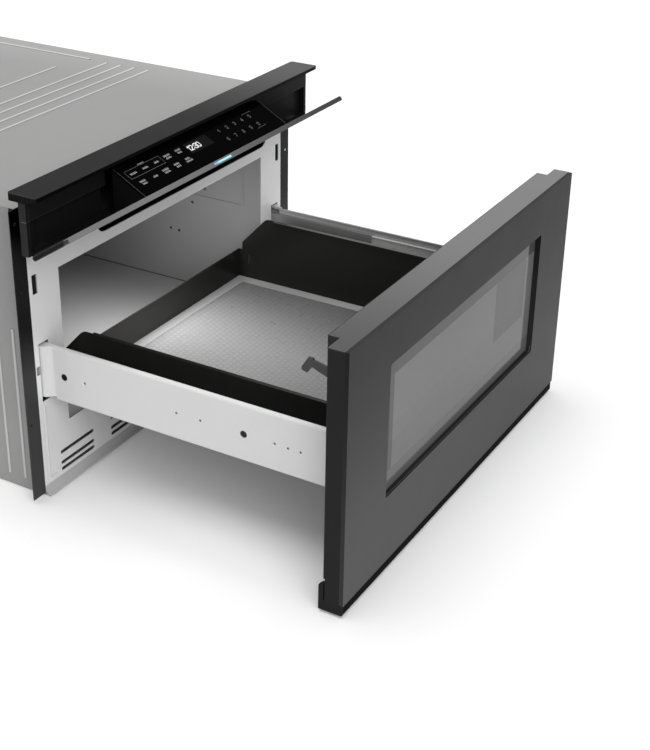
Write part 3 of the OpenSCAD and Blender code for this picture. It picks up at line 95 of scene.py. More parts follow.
class Signal:
    """One shader value, on which plain arithmetic can be written."""

    def __init__(self, board: Board, socket: Socket) -> None:
        """Wraps an output socket of a board's node."""
        self.board = board
        self.socket = socket

    def maths(self, operation: str, *others: Number) -> Signal:
        """Gives the result of one Math operation on this value and the others, in order."""
        return self.board.maths(operation, self, *others)

    def __add__(self, other: Number) -> Signal:
        """Adds."""
        return self.maths("ADD", other)

    def __radd__(self, other: Number) -> Signal:
        """Adds, reflected."""
        return self.board.maths("ADD", other, self)

    def __sub__(self, other: Number) -> Signal:
        """Subtracts."""
        return self.maths("SUBTRACT", other)

    def __rsub__(self, other: Number) -> Signal:
        """Subtracts, reflected."""
        return self.board.maths("SUBTRACT", other, self)

    def __mul__(self, other: Number) -> Signal:
        """Multiplies."""
        return self.maths("MULTIPLY", other)

    def __rmul__(self, other: Number) -> Signal:
        """Multiplies, reflected."""
        return self.board.maths("MULTIPLY", other, self)

    def __truediv__(self, other: Number) -> Signal:
        """Divides."""
        return self.maths("DIVIDE", other)

    def swing(self, share: float) -> Signal:
        """Turns noise about a half into a swing about zero, as far as the share at its ends."""
        return (self - 0.5) * (2 * share)

    def ramp(self, start: float, end: float, low: float = 0.0, high: float = 1.0) -> Signal:
        """Gives a smooth step from low to high, where this value goes from start to end."""
        inputs = {"Value": self, "From Min": start, "From Max": end, "To Min": low, "To Max": high}
        node = self.board.node("ShaderNodeMapRange", inputs, interpolation_type="SMOOTHSTEP")
        return Signal(self.board, node.outputs[0])


class Board:
    """The node tree of a material or of the sky, round its one shader."""

    def __init__(
        self,
        owner: bpy.types.Material | bpy.types.World,
        shader: str = "ShaderNodeBsdfPrincipled",
        output: str = "ShaderNodeOutputMaterial",
    ) -> None:
        """Empties the owner's tree and puts its shader in."""
        self.owner = owner
        owner.use_nodes = True
        self.tree = owner.node_tree
        self.tree.nodes.clear()
        self.shader = self.node(shader)
        self.node(output, {"Surface": self.shader.outputs[0]})

    def connect(self, socket: Socket, value: Any) -> None:
        """Links a signal or another socket to an input, or sets the input to a plain value."""
        source = value.socket if isinstance(value, Signal) else value
        if isinstance(source, Socket):
            self.tree.links.new(source, socket)
        else:
            socket.default_value = source

    def node(self, kind: str, inputs: dict[Any, Any] | None = None, **settings: Any) -> bpy.types.Node:
        """Adds one node.

        Args:
            kind: The node's type.
            inputs: Values, sockets or signals for its inputs, by name or by number.
            settings: Values set on the node itself, before its sockets.

        Returns:
            The node.
        """
        made = self.tree.nodes.new(kind)
        for key, value in settings.items():
            setattr(made, key, value)
        for key, value in (inputs or {}).items():
            self.connect(made.inputs[key], value)
        return made

    def maths(self, operation: str, *values: Number) -> Signal:
        """Gives the result of one Math operation on the values, in order."""
        node = self.node("ShaderNodeMath", dict(enumerate(values)), operation=operation)
        return Signal(self, node.outputs[0])

    def feed(self, name: str, value: Any) -> None:
        """Sets or links one input of the shader."""
        self.connect(self.shader.inputs[name], value)

    @cached_property
    def place(self) -> Socket:
        """The point's place in the object's own coordinates."""
        return self.node("ShaderNodeTexCoord").outputs["Object"]

    @cached_property
    def parts(self) -> bpy.types.NodeOutputs:
        """The three coordinates of the place, in millimetres."""
        return self.node("ShaderNodeSeparateXYZ", {0: self.stretched((1 / MM,) * 3)}).outputs

    def along(self, axis: Axis) -> Signal:
        """Gives one coordinate of the point's place, in millimetres."""
        return Signal(self, self.parts[axis.value])

    def stretched(self, scale: Triple) -> Socket:
        """Gives the place scaled by its own factor along each axis."""
        inputs = {0: self.place, 1: scale}
        return self.node("ShaderNodeVectorMath", inputs, operation="MULTIPLY").outputs[0]

    def noise(self, scale: Triple, detail: float = 2.0) -> Signal:
        """Gives smooth noise about a half, with its cells per metre along each axis."""
        inputs = {"Vector": self.stretched(scale), "Scale": 1.0, "Detail": detail}
        return Signal(self, self.node("ShaderNodeTexNoise", inputs).outputs["Fac"])

    def off_centre(self, across: Axis, up: Axis, pitch: float) -> Signal:
        """Gives the distance, in cells, to the middle of the nearest cell of a staggered field.

        Both coordinates are divided by the pitch, and every second row is shifted by half a cell.
        What is left of each over its whole number, less a half, is the offset from the middle.
        """
        x, y = self.along(across) / pitch, self.along(up) / pitch
        row = y.maths("FLOOR").maths("MODULO", 2.0).maths("ABSOLUTE")
        u = (x + row * 0.5).maths("FRACT") - 0.5
        v = y.maths("FRACT") - 0.5
        return (u * u + v * v).maths("SQRT")

    def scaled(self, colour: Any, gain: Number) -> Socket:
        """Gives a colour times a number."""
        inputs = {0: colour, "Scale": gain}
        return self.node("ShaderNodeVectorMath", inputs, operation="SCALE").outputs[0]

    def mixed(self, share: Number, first: Colour, second: Colour) -> Socket:
        """Gives a colour between two: the first where the share is 0, the second where it is 1."""
        inputs = {0: share, 6: (*first, 1.0), 7: (*second, 1.0)}
        return self.node("ShaderNodeMix", inputs, data_type="RGBA", clamp_factor=True).outputs[2]

    def bump(self, height: Signal, distance: float) -> None:
        """Raises the surface's relief by a height signal of the given depth in metres."""
        inputs = {"Height": height, "Distance": distance, "Strength": 1.0}
        self.feed("Normal", self.node("ShaderNodeBump", inputs).outputs[0])

    def looked_at(self) -> Signal:
        """Gives 1 where the camera, gloss or glass looks, and 0 for other light."""
        path = self.node("ShaderNodeLightPath")
        camera, gloss, glass = (
            Signal(self, path.outputs[f"Is {ray} Ray"]) for ray in ("Camera", "Glossy", "Transmission")
        )
        return camera.maths("MAXIMUM", gloss.maths("MAXIMUM", glass))


def grey(value: float, warm: float = 0.0) -> Colour:
    """Gives the linear colour of a grey by the sRGB curve, its red up and blue down by the warm share."""
    linear = ((value + 0.055) / 1.055) ** 2.4 if value > 0.04045 else value / 12.92
    return (linear * (1 + warm), linear, linear * (1 - warm))


class Tone:
    """A share by which a finish is painted lighter or darker from place to place, standing in for light and
    shade.
    """

    def signal(self, board: Board) -> Number:
        """Gives the factor on the finish's colour."""
        raise NotImplementedError


@dataclass(frozen=True)
class Fade(Tone):
    """A slow change along one axis, from one factor at the start to another at the end."""

    axis: Axis
    start: float
    end: float
    low: float
    high: float

    def signal(self, board: Board) -> Number:
        """Gives the smooth step from low to high."""
        return board.along(self.axis).ramp(self.start, self.end, self.low, self.high)


@dataclass(frozen=True, kw_only=True)
class Region:
    """A part of a piece, bounded where a span is given; a side span holds left and right alike."""

    x: Span = OPEN
    side: Span = OPEN
    y: Span = OPEN
    z: Span = OPEN
    soft: float = 0.1

    def share(self, board: Board) -> Number:
        """Gives 1 inside the bounds and 0 outside: the product of one soft step for each bound."""
        total: Number = 1.0
        for axis, span in ((X, self.x), (None, self.side), (Y, self.y), (Z, self.z)):
            for limit, (low, high) in zip(span, ((0.0, 1.0), (1.0, 0.0))):
                if limit is None:
                    continue
                value = board.along(X).maths("ABSOLUTE") if axis is None else board.along(axis)
                total = total * value.ramp(limit - self.soft, limit + self.soft, low, high)
        return total


@dataclass(frozen=True)
class Zone(Region, Tone):
    """A region with its own factor, or with a tone that holds only there."""

    inner: Tone | float

    def signal(self, board: Board) -> Number:
        """Gives the factor inside the bounds and 1 outside."""
        inner = self.inner.signal(board) if isinstance(self.inner, Tone) else self.inner
        return self.share(board) * (inner - 1) + 1


@dataclass(frozen=True)
class HoleShade(Tone):
    """Painted shade in holes through a sheet: dark on their walls and at their edge."""

    places: tuple[Pair, ...]
    radius: float
    gain: float
    plane: tuple[Axis, Axis] = (Y, Z)
    soft: float = 0.5

    def signal(self, board: Board) -> Number:
        """Gives the gain where the distance to the nearest hole's axis is under its radius."""
        nearest: Signal | None = None
        for place in self.places:
            across, up = (board.along(axis) - value for axis, value in zip(self.plane, place))
            far = (across * across + up * up).maths("SQRT")
            nearest = far if nearest is None else nearest.maths("MINIMUM", far)
        return nearest.ramp(self.radius, self.radius + self.soft, self.gain, 1.0)


@dataclass(frozen=True)
class Finish:
    """A finish whose colour wanders a little, whose skin has a fine relief, and on which its tones paint
    light and shade.
    """

    name: str
    colour: Colour
    roughness: float = 0.45
    metallic: float = 0.0
    coat: float = 0.0
    specular: float = 0.3
    wander: float = 0.02
    wander_scale: float = 14.0
    relief: float = 0.0
    relief_scale: float = 1500.0
    rough_wander: float = 0.04
    alpha: float = 1.0
    tones: tuple[Tone, ...] = ()

    def factor(self, board: Board) -> Signal:
        """Gives the wandering factor times every tone."""
        total = board.noise((self.wander_scale,) * 3).swing(self.wander) + 1
        for tone in self.tones:
            total = total * tone.signal(board)
        return total

    def height(self, board: Board) -> Signal | None:
        """Gives the relief, from 0 to 1, or None where the skin is smooth."""
        return board.noise((self.relief_scale,) * 3) if self.relief else None

    def extras(self, board: Board) -> None:
        """Adds what only one finish has."""

    def made(self) -> bpy.types.Material:
        """Builds the material, ready to assign."""
        board = Board(bpy.data.materials.new(self.name))
        board.feed("Base Color", board.scaled(self.colour, self.factor(board)))
        slow = board.noise((self.wander_scale * 2,) * 3)
        board.feed("Roughness", slow.swing(self.rough_wander) + self.roughness)
        board.feed("Metallic", self.metallic)
        board.feed("Coat Weight", self.coat)
        board.feed("Specular IOR Level", self.specular)
        board.feed("Alpha", self.alpha)
        height = self.height(board)
        if height is not None:
            board.bump(height, self.relief)
        self.extras(board)
        return board.owner


@dataclass(frozen=True)
class MouldedPlastic(Finish):
    """Dark plastic with the fine even grain of its mould."""

    roughness: float = 0.5
    relief: float = 2e-5
    relief_scale: float = 3500.0


@dataclass(frozen=True)
class WhiteEnamel(Finish):
    """Glossy white coating that is very even and slightly wavy."""

    coat: float = 0.1
    specular: float = 0.25
    wander: float = 0.01
    relief: float = 1e-5


@dataclass(frozen=True)
class BrushedSteel(Finish):
    """Coated steel with a hair-fine brushed grain across the width."""

    specular: float = 0.05
    relief: float = 4e-6
    grain: float = 0.07
    across: float = 6.0
    fine: float = 2600.0

    def lines(self, board: Board) -> Signal:
        """Gives long thin streaks: noise stretched along X."""
        return board.noise((self.across, self.fine, self.fine), 1.0)

    def factor(self, board: Board) -> Signal:
        """Gives the finish's factor with the grain's light and dark lines."""
        return super().factor(board) * (self.lines(board).swing(self.grain) + 1)

    def height(self, board: Board) -> Signal | None:
        """Gives the grain's relief."""
        return self.lines(board)


@dataclass(frozen=True)
class DottedCeramic(Finish):
    """Ceramic glass with a staggered field of fine printed dots, sized as shares of their pitch."""

    specular: float = 0.25
    pitch: float = 8.0
    dot: float = 0.26
    dot_edge: Pair = (0.6, 1.4)
    ink: float = 0.20

    def dots(self, board: Board) -> Signal:
        """Gives 1 inside a dot and 0 between, with a soft edge about the dot's radius."""
        inside, outside = (self.dot * share for share in self.dot_edge)
        return board.off_centre(X, Y, self.pitch).ramp(inside, outside, 1.0, 0.0)

    def factor(self, board: Board) -> Signal:
        """Gives the finish's factor, lighter in the dots."""
        return super().factor(board) * (self.dots(board) * self.ink + 1)

    def height(self, board: Board) -> Signal | None:
        """Gives the dots' slight rise."""
        return self.dots(board)


@dataclass(frozen=True)
class WindowPane(Finish):
    """Tinted glass with a solid printed border round its clear field."""

    clear: Region = Region()
    border: float = 0.60
    clear_alpha: float = 0.82

    def factor(self, board: Board) -> Signal:
        """Gives the finish's factor, darker in the border."""
        return super().factor(board) * (self.clear.share(board) * (1 - self.border) + self.border)

    def extras(self, board: Board) -> None:
        """Lets the clear field show what is behind it."""
        board.feed("Alpha", 1 - self.clear.share(board) * (1 - self.clear_alpha))


@dataclass(frozen=True)
class Perforated(Finish):
    """Sheet with a staggered field of small round holes, whose radius is a share of their pitch."""

    pitch: float = 1.4
    hole: float = 0.36

    def extras(self, board: Board) -> None:
        """Opens the holes: solid where the distance to the nearest hole's middle is over the radius."""
        board.feed("Alpha", board.off_centre(X, Z, self.pitch).maths("GREATER_THAN", self.hole))


@dataclass(frozen=True)
class Glowing(Finish):
    """A lit piece that gives off its own colour."""

    glow: Colour = WHITE
    strength: float = 1.0
    change_x: Pair | None = None
    far_glow: Colour = WHITE
    # rise_z and foot_share set the dimmer glow at the foot, a painted reflection of the piece
    rise_z: Pair = (0.0, 1.0)
    foot_share: float = 0.25

    def extras(self, board: Board) -> None:
        """Lights the piece, from one colour at its left end to another, full at its top and dimmer at its
        foot, where the dimmer glow is a painted reflection of the piece.
        """
        board.feed("Emission Strength", self.strength)
        if self.change_x is None:
            board.feed("Emission Color", (*self.glow, 1.0))
            return
        hue = board.mixed(board.along(X).ramp(*self.change_x), self.glow, self.far_glow)
        rise = board.along(Z).ramp(*self.rise_z, self.foot_share, 1.0)
        board.feed("Emission Color", board.scaled(hue, rise))


def new_piece(name: str, corners: Array, faces: Array) -> bpy.types.Object:
    """Makes an object from arrays, with its place in its mesh.

    Args:
        name: The piece's name.
        corners: Vertex places, n by 3, in metres.
        faces: Vertex numbers of each face, m by 3 or 4.

    Returns:
        The linked object.
    """
    mesh = bpy.data.meshes.new(name)
    mesh.from_pydata(corners.reshape(-1, 3).tolist(), [], faces.tolist())
    mesh.validate()
    mesh.update()
    made = bpy.data.objects.new(name, mesh)
    bpy.context.scene.collection.objects.link(made)
    return made


def dress(piece: bpy.types.Object, material: bpy.types.Material) -> None:
    """Gives a piece one material in place of those it has."""
    piece.data.materials.clear()
    piece.data.materials.append(material)


Dressing = tuple[Finish, str]


@dataclass
class SubAssembly:
    """A group of the frame's nodes that are built and dressed together."""

    def dressings(self) -> Iterable[Dressing]:
        """Gives each finish with the nodes that take it, their names apart by spaces."""
        raise NotImplementedError

    def extra_pieces(self) -> None:
        """Makes the pieces that the frame doesn't have."""

    def build(self, nodes: dict[str, bpy.types.Object]) -> set[str]:
        """Dresses the group's nodes and makes its further pieces.

        Args:
            nodes: The frame's nodes by name.

        Returns:
            The names of the nodes that were dressed.
        """
        done: set[str] = set()
        for finish, names in self.dressings():
            material = finish.made()
            for name in names.split():
                dress(nodes[name], material)
                done.add(name)
                LOG.info("dressed %s in %s", name, finish.name)
        self.extra_pieces()
        return done


BOX_FACES = np.array([
    [0, 3, 2, 1], [4, 5, 6, 7], [0, 1, 5, 4], [1, 2, 6, 5], [2, 3, 7, 6], [3, 0, 4, 7],
])


@dataclass(frozen=True)
class GlassPlane:
    """The touch glass's face, with u along the width and v up its slope from the flap's bar."""

    hinge: Pair = (-34.5 * MM, 336.8 * MM)
    edge: Pair = (3.25 * MM, 61.7 * MM)
    tilt: float = 57.0
    slope: float = 28.5

    def turned(self, y: float, z: float) -> Array:
        """Turns a direction of the shut flap by the flap's tilt about X."""
        a = math.radians(self.tilt)
        return np.array([0.0, y * math.cos(a) - z * math.sin(a), y * math.sin(a) + z * math.cos(a)])

    def points(self, u: Array, v: Array, lift: Array) -> Array:
        """Places points given on the face.

        The place is the hinge line, plus the face's front edge turned by the tilt, plus u along X,
        plus v along the turned slope, plus the lift along the face's normal.

        Args:
            u: Distances along X in metres.
            v: Distances up the slope in metres.
            lift: Heights above the face in metres.

        Returns:
            The places, one row each.
        """
        s = math.radians(self.slope)
        rise = self.turned(math.cos(s), -math.sin(s))
        normal = np.cross([1.0, 0.0, 0.0], rise)
        start = np.array([0.0, *self.hinge]) + self.turned(*self.edge)
        across = np.stack([u, np.zeros_like(u), np.zeros_like(u)], -1)
        return start + across + v[..., None] * rise + lift[..., None] * normal

    def bars(self, ends: Array, width: float, base: float, top: float) -> tuple[Array, Array]:
        """Turns strokes on the face into thin closed bars.

        Each bar's corners are its two ends, pushed out along the stroke and to both sides by half
        the width, once at the base height and once at the top height.

        Args:
            ends: Start and end points, n by 2 by 2, in metres.
            width: The bars' width in metres.
            base: The lower height above the face.
            top: The upper height above the face.

        Returns:
            The corners and the faces.
        """
        start, end = ends[:, 0], ends[:, 1]
        run = end - start
        run = run / np.maximum(np.linalg.norm(run, axis=1, keepdims=True), 1e-9) * (width / 2)
        side = np.stack([-run[:, 1], run[:, 0]], 1)
        flat = np.stack([start - run - side, end + run - side, end + run + side, start - run + side], 1)
        both = np.concatenate([flat, flat], 1)
        lift = np.broadcast_to(np.repeat([base, top], 4), both.shape[:2])
        corners = self.points(both[..., 0], both[..., 1], lift)
        faces = (BOX_FACES[None] + 8 * np.arange(len(ends))[:, None, None]).reshape(-1, 4)
        return corners, faces


class Stroke:
    """Numbers drawn as strokes in a cell one wide and one and a half high.

    A path is a row of points x,y in twentieths of the width, and / lifts the pen between two paths.
    """

    HEIGHT = 1.5
    UNIT = 20
    PATHS = {
        "0": "4,0 16,0 20,6 20,24 16,30 4,30 0,24 0,6 4,0",
        "1": "2,24 10,30 10,0",
        "2": "0,24 4,30 16,30 20,24 20,19 0,0 20,0",
        "3": "0,27 6,30 16,30 20,24 15,16 8,16/15,16 20,10 20,5 16,0 5,0 0,4",
        "4": "15,0 15,30 0,9 20,9",
        "5": "19,30 2,30 1,17 14,18 20,12 20,6 15,0 4,0 0,4",
        "6": "18,29 8,30 1,20 0,8 4,0 16,0 20,6 20,12 15,17 4,17 0,11",
        "7": "0,30 20,30 7,0",
        "8": "4,0 16,0 20,7 15,16 5,16 0,7 4,0/5,16 1,23 5,30 15,30 19,23 15,16",
        "9": "2,1 12,0 19,10 20,22 16,30 4,30 0,24 0,18 5,13 16,13 20,19",
        ":": "8,8 12,8/8,22 12,22",
    }

    @classmethod
    def segments(cls, letter: str, u: float, v: float, size: float) -> Array:
        """Gives the strokes of one number.

        Args:
            letter: A key of PATHS.
            u: The left edge.
            v: The foot.
            size: The width of the character.

        Returns:
            Start and end points, n by 2 by 2.
        """
        rows = []
        for path in cls.PATHS[letter].split("/"):
            points = np.array([point.split(",") for point in path.split()], float)
            line = points / cls.UNIT * size + (u, v)
            rows.append(np.stack([line[:-1], line[1:]], 1))
        return np.concatenate(rows)


@dataclass(frozen=True)
class KeyPanel:
    """Printed marks, display, lit numbers and painted highlights along the glass's ends, on the touch glass,
    in millimetres on its face.
    """

    plane: GlassPlane = GlassPlane()
    number_u: tuple[float, ...] = (44.0, 62.0, 79.8, 97.6, 115.8)
    number_rows: Pair = (36.0, 19.8)
    number_size: float = 3.3
    label_u: tuple[float, ...] = (-139.0, -115.6, -93.0, -69.8, -46.4)
    label_rows: Pair = (36.0, 19.2)
    label_length: float = 13.0
    label_step: float = 1.8
    label_height: float = 2.6
    label_drop: float = 1.2
    label_split: float = 2.1
    heading_gap: float = 0.9
    heading_height: float = 1.4
    heading_turn: int = 5
    tick_pitch: float = 0.95
    tick_sway: float = 0.3
    tick_turn: float = 2.1
    clock: str = "12:30"
    clock_u: tuple[float, ...] = (-30.0, -25.6, -20.2, -16.8, -10.4)
    clock_v: float = 28.4
    clock_size: float = 5.0
    clock_rise: float = 0.03
    ink_width: float = 0.8
    label_width: float = 0.5
    lit_width: float = 1.3
    line_width: float = 0.45
    print_z: Pair = (0.02, 0.06)
    boxed: int = 3
    box_u: Pair = (-150.0, -81.5)
    box_v: Pair = (29.4, 42.6)
    bracket_u: Pair = (106.3, 125.3)
    bracket_v: Pair = (13.6, 42.4)
    bracket_turn: float = 1.6
    screen_u: Pair = (-31.0, 17.0)
    screen_v: Pair = (23.6, 41.0)
    screen_drop: float = 0.015
    end_u: float = 158.4
    end_v: Pair = (1.0, 53.4)

    def piece(self, name: str, ends: Array, width: float, finish: Finish, lift: float = 0.0) -> None:
        """Makes one set of marks and lets it ride on the flap.

        Args:
            name: The piece's name.
            ends: Strokes on the glass, n by 2 by 2.
            width: The strokes' width.
            finish: The marks' finish.
            lift: How far the marks stand over the first layer.
        """
        low, high = (height + lift for height in self.print_z)
        corners, faces = self.plane.bars(ends * MM, width * MM, low * MM, high * MM)
        made = new_piece(name, corners, faces)
        dress(made, finish.made())
        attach(made, "control_flap")
        LOG.info("made %s with %d bars", name, len(ends))

    def numbers(self) -> Array:
        """Gives the number keys' strokes: 1 to 5 above 6 to 0."""
        size = self.number_size
        return np.concatenate([
            Stroke.segments(letter, u - size / 2, v - Stroke.HEIGHT / 2 * size, size)
            for text, v in zip(("12345", "67890"), self.number_rows)
            for letter, u in zip(text, self.number_u)
        ])

    def word(self, u: float, v: float, length: float, height: float, turn: int) -> Array:
        """Gives a plain key label: a row of short upright ticks in place of a word.

        The ticks stand at a fixed pitch, and their heights follow the sine of their number.

        Args:
            u: The middle.
            v: The foot.
            length: The row's length.
            height: The tallest tick.
            turn: A number that shifts the heights.

        Returns:
            Start and end points.
        """
        count = max(2, int(length / self.tick_pitch))
        k = np.arange(count)
        x = u + (k - (count - 1) / 2) * self.tick_pitch
        tall = height * (1 - self.tick_sway + self.tick_sway * np.sin(self.tick_turn * k + turn))
        foot = np.full(count, v)
        return np.stack([np.stack([x, foot], 1), np.stack([x, foot + tall], 1)], 1)

    def labels(self) -> Array:
        """Gives all label rows: one line in the boxed keys, two lines in most of the others."""
        rows = []
        for r, v in enumerate(self.label_rows):
            for c, u in enumerate(self.label_u):
                single = (r == 0 and c < self.boxed) or (r == 1 and c == 1)
                offsets = (0.0,) if single else (self.label_split, -self.label_split)
                for line, offset in enumerate(offsets):
                    length = self.label_length - self.label_step * ((c + line + r) % 3)
                    foot = v - self.label_drop + offset
                    rows.append(self.word(u, foot, length, self.label_height, 3 * c + line + r))
        foot, height = self.box_v[1] + self.heading_gap, self.heading_height
        rows.append(self.word(self.label_u[1], foot, self.label_length, height, self.heading_turn))
        return np.concatenate(rows)

    def lines(self) -> Array:
        """Gives the thin box round the first keys and the two brackets at the numbers."""
        (u0, u1), (v0, v1) = self.box_u, self.box_v
        ring = np.array([(u0, v0), (u1, v0), (u1, v1), (u0, v1), (u0, v0)])
        (left, right), (low, high), turn = self.bracket_u, self.bracket_v, self.bracket_turn
        brackets = np.array([
            [(left, high), (right, high)], [(right, high), (right, high - turn)],
            [(left, low), (right, low)], [(right, low), (right, low + turn)],
        ])
        return np.concatenate([np.stack([ring[:-1], ring[1:]], 1), brackets])

    def ends(self) -> Array:
        """Gives a painted highlight line along the edge at each end of the glass."""
        v0, v1 = self.end_v
        return np.array([[(u, v0), (u, v1)] for u in (-self.end_u, self.end_u)])

    def screen(self) -> Array:
        """Gives one stroke as wide as the display is tall."""
        half = (self.screen_v[1] - self.screen_v[0]) / 2
        middle = sum(self.screen_v) / 2
        return np.array([[(self.screen_u[0] + half, middle), (self.screen_u[1] - half, middle)]])

    def build(self) -> None:
        """Makes every mark on the glass."""
        ink = Finish("pale_ink", grey(0.42), 0.5, specular=0.1)
        label = Finish("label_ink", grey(0.72), 0.5, specular=0.1)
        faint = Finish("faint_ink", grey(0.40), 0.5, specular=0.1)
        # pale lines at the glass's ends: painted highlights on its edges
        edge_highlight = Finish("glass_edge_highlight", grey(0.36), 0.4, specular=0.1)
        display = Finish("display_tint", grey(0.10), 0.15, specular=0.003)
        lit = Glowing("lit_numbers", grey(0.5), 0.4, glow=(0.9, 0.95, 1.0), strength=0.75)
        tall = self.screen_v[1] - self.screen_v[0]
        self.piece("display_window", self.screen(), tall, display, -self.screen_drop)
        self.piece("number_keys", self.numbers(), self.ink_width, ink)
        self.piece("key_labels", self.labels(), self.label_width, label)
        self.piece("key_frames", self.lines(), self.line_width, faint)
        self.piece("glass_end_highlights", self.ends(), self.line_width, edge_highlight)
        time = zip(self.clock, self.clock_u)
        marks = [Stroke.segments(letter, u, self.clock_v, self.clock_size) for letter, u in time]
        self.piece("clock_numbers", np.concatenate(marks), self.lit_width, lit, self.clock_rise)


@dataclass
class Chassis(SubAssembly):
    """Outer sheets, base, front plate, flanges, gland and screws."""

    half: float = 280.0
    top: float = 379.0
    top_skin: float = 0.5
    bead: float = 1.4
    # bead_foot to wall_ends and the dimples place the sheet's painted shade and highlights
    bead_foot: float = 0.12
    bead_crest: float = 0.72
    lit_x: float = 160.0
    wall_ends: float = 10.0
    # places of small hollows on the top, painted dark as their shade
    dimples: tuple[Pair, ...] = ((251.5, 285.8), (251.5, 258.7), (251.5, 232.0))
    dimple: float = 0.9
    plate_front: float = -1.5
    plate_edge: Pair = (0.1, 1.4)
    plate_foot: float = 13.0
    rib: float = 0.8
    rib_crest: float = 0.6
    rib_flank: Pair = (0.8, 0.1)
    ribs_z: Pair = (20.0, 125.0)
    slot_shade_z: Pair = (150.0, 235.0)
    hood_shade_z: Pair = (325.0, 365.0)

    def dressings(self) -> Iterable[Dressing]:
        """Gives the chassis's finishes."""
        crest, foot = self.bead * self.bead_crest, self.bead * self.bead_foot
        # painted light and shade: darker bead feet, painted highlights on bead crests, lighter towards the
        # right edge, painted shade in the dimples, walls lighter at the foot and darker at the top
        wrap = Finish("zinc_coated_sheet", grey(0.61, 0.004), 0.42, relief=2e-5, specular=0.2, tones=(
            Zone(0.93, z=(self.top + foot, None)),
            Zone(2.1, z=(self.top + crest, None), soft=0.2),
            Zone(0.93, side=(self.half + foot, None)),
            Zone(1.9, side=(self.half + crest, None), soft=0.2),
            Fade(X, self.lit_x, self.half, 1.0, 1.2),
            Zone(HoleShade(self.dimples, self.dimple, 0.35, (X, Y)), z=(self.top - self.top_skin, None)),
            Fade(Z, self.wall_ends, self.top - self.wall_ends, 1.06, 0.92),
        ))
        front = self.plate_front
        flank = tuple(front - self.rib * share for share in self.rib_flank)
        edge = tuple(front + depth for depth in self.plate_edge)
        # painted highlight on the ribs' crests, painted shade on their flanks, at the plate's foot and on the
        # walls within its thickness
        plate = WhiteEnamel("white_plate_enamel", grey(0.955), 0.35, tones=(
            Zone(1.04, y=(None, front - self.rib * self.rib_crest), z=self.ribs_z),
            Zone(0.78, y=flank, z=self.ribs_z),
            Zone(0.62, z=(None, self.plate_foot), soft=1.5),
            Zone(0.4, y=edge),
        ))
        # painted reflection lighter low down, painted shade darker towards the top and behind the front face
        flange = Finish("flange_paint", grey(0.27), 0.3, specular=0.05, tones=(
            Fade(Z, *self.hood_shade_z, 1.0, 0.08),
            Fade(Z, *self.slot_shade_z, 1.0, 0.26),
            Zone(0.3, y=(SKIN, None)),
        ))
        return (
            (wrap, "chassis_wrap"),
            (Finish("back_sheet", grey(0.64, 0.004), 0.42, relief=2e-5), "back_panel base_pan"),
            (plate, "front_plate"),
            (flange, "flange_left flange_right"),
            (MouldedPlastic("gland_plastic", grey(0.10)), "cord_gland"),
            (Finish("screw_zinc", grey(0.66), 0.3, 0.8, wander=0.08, wander_scale=200), "panel_screws"),
        )


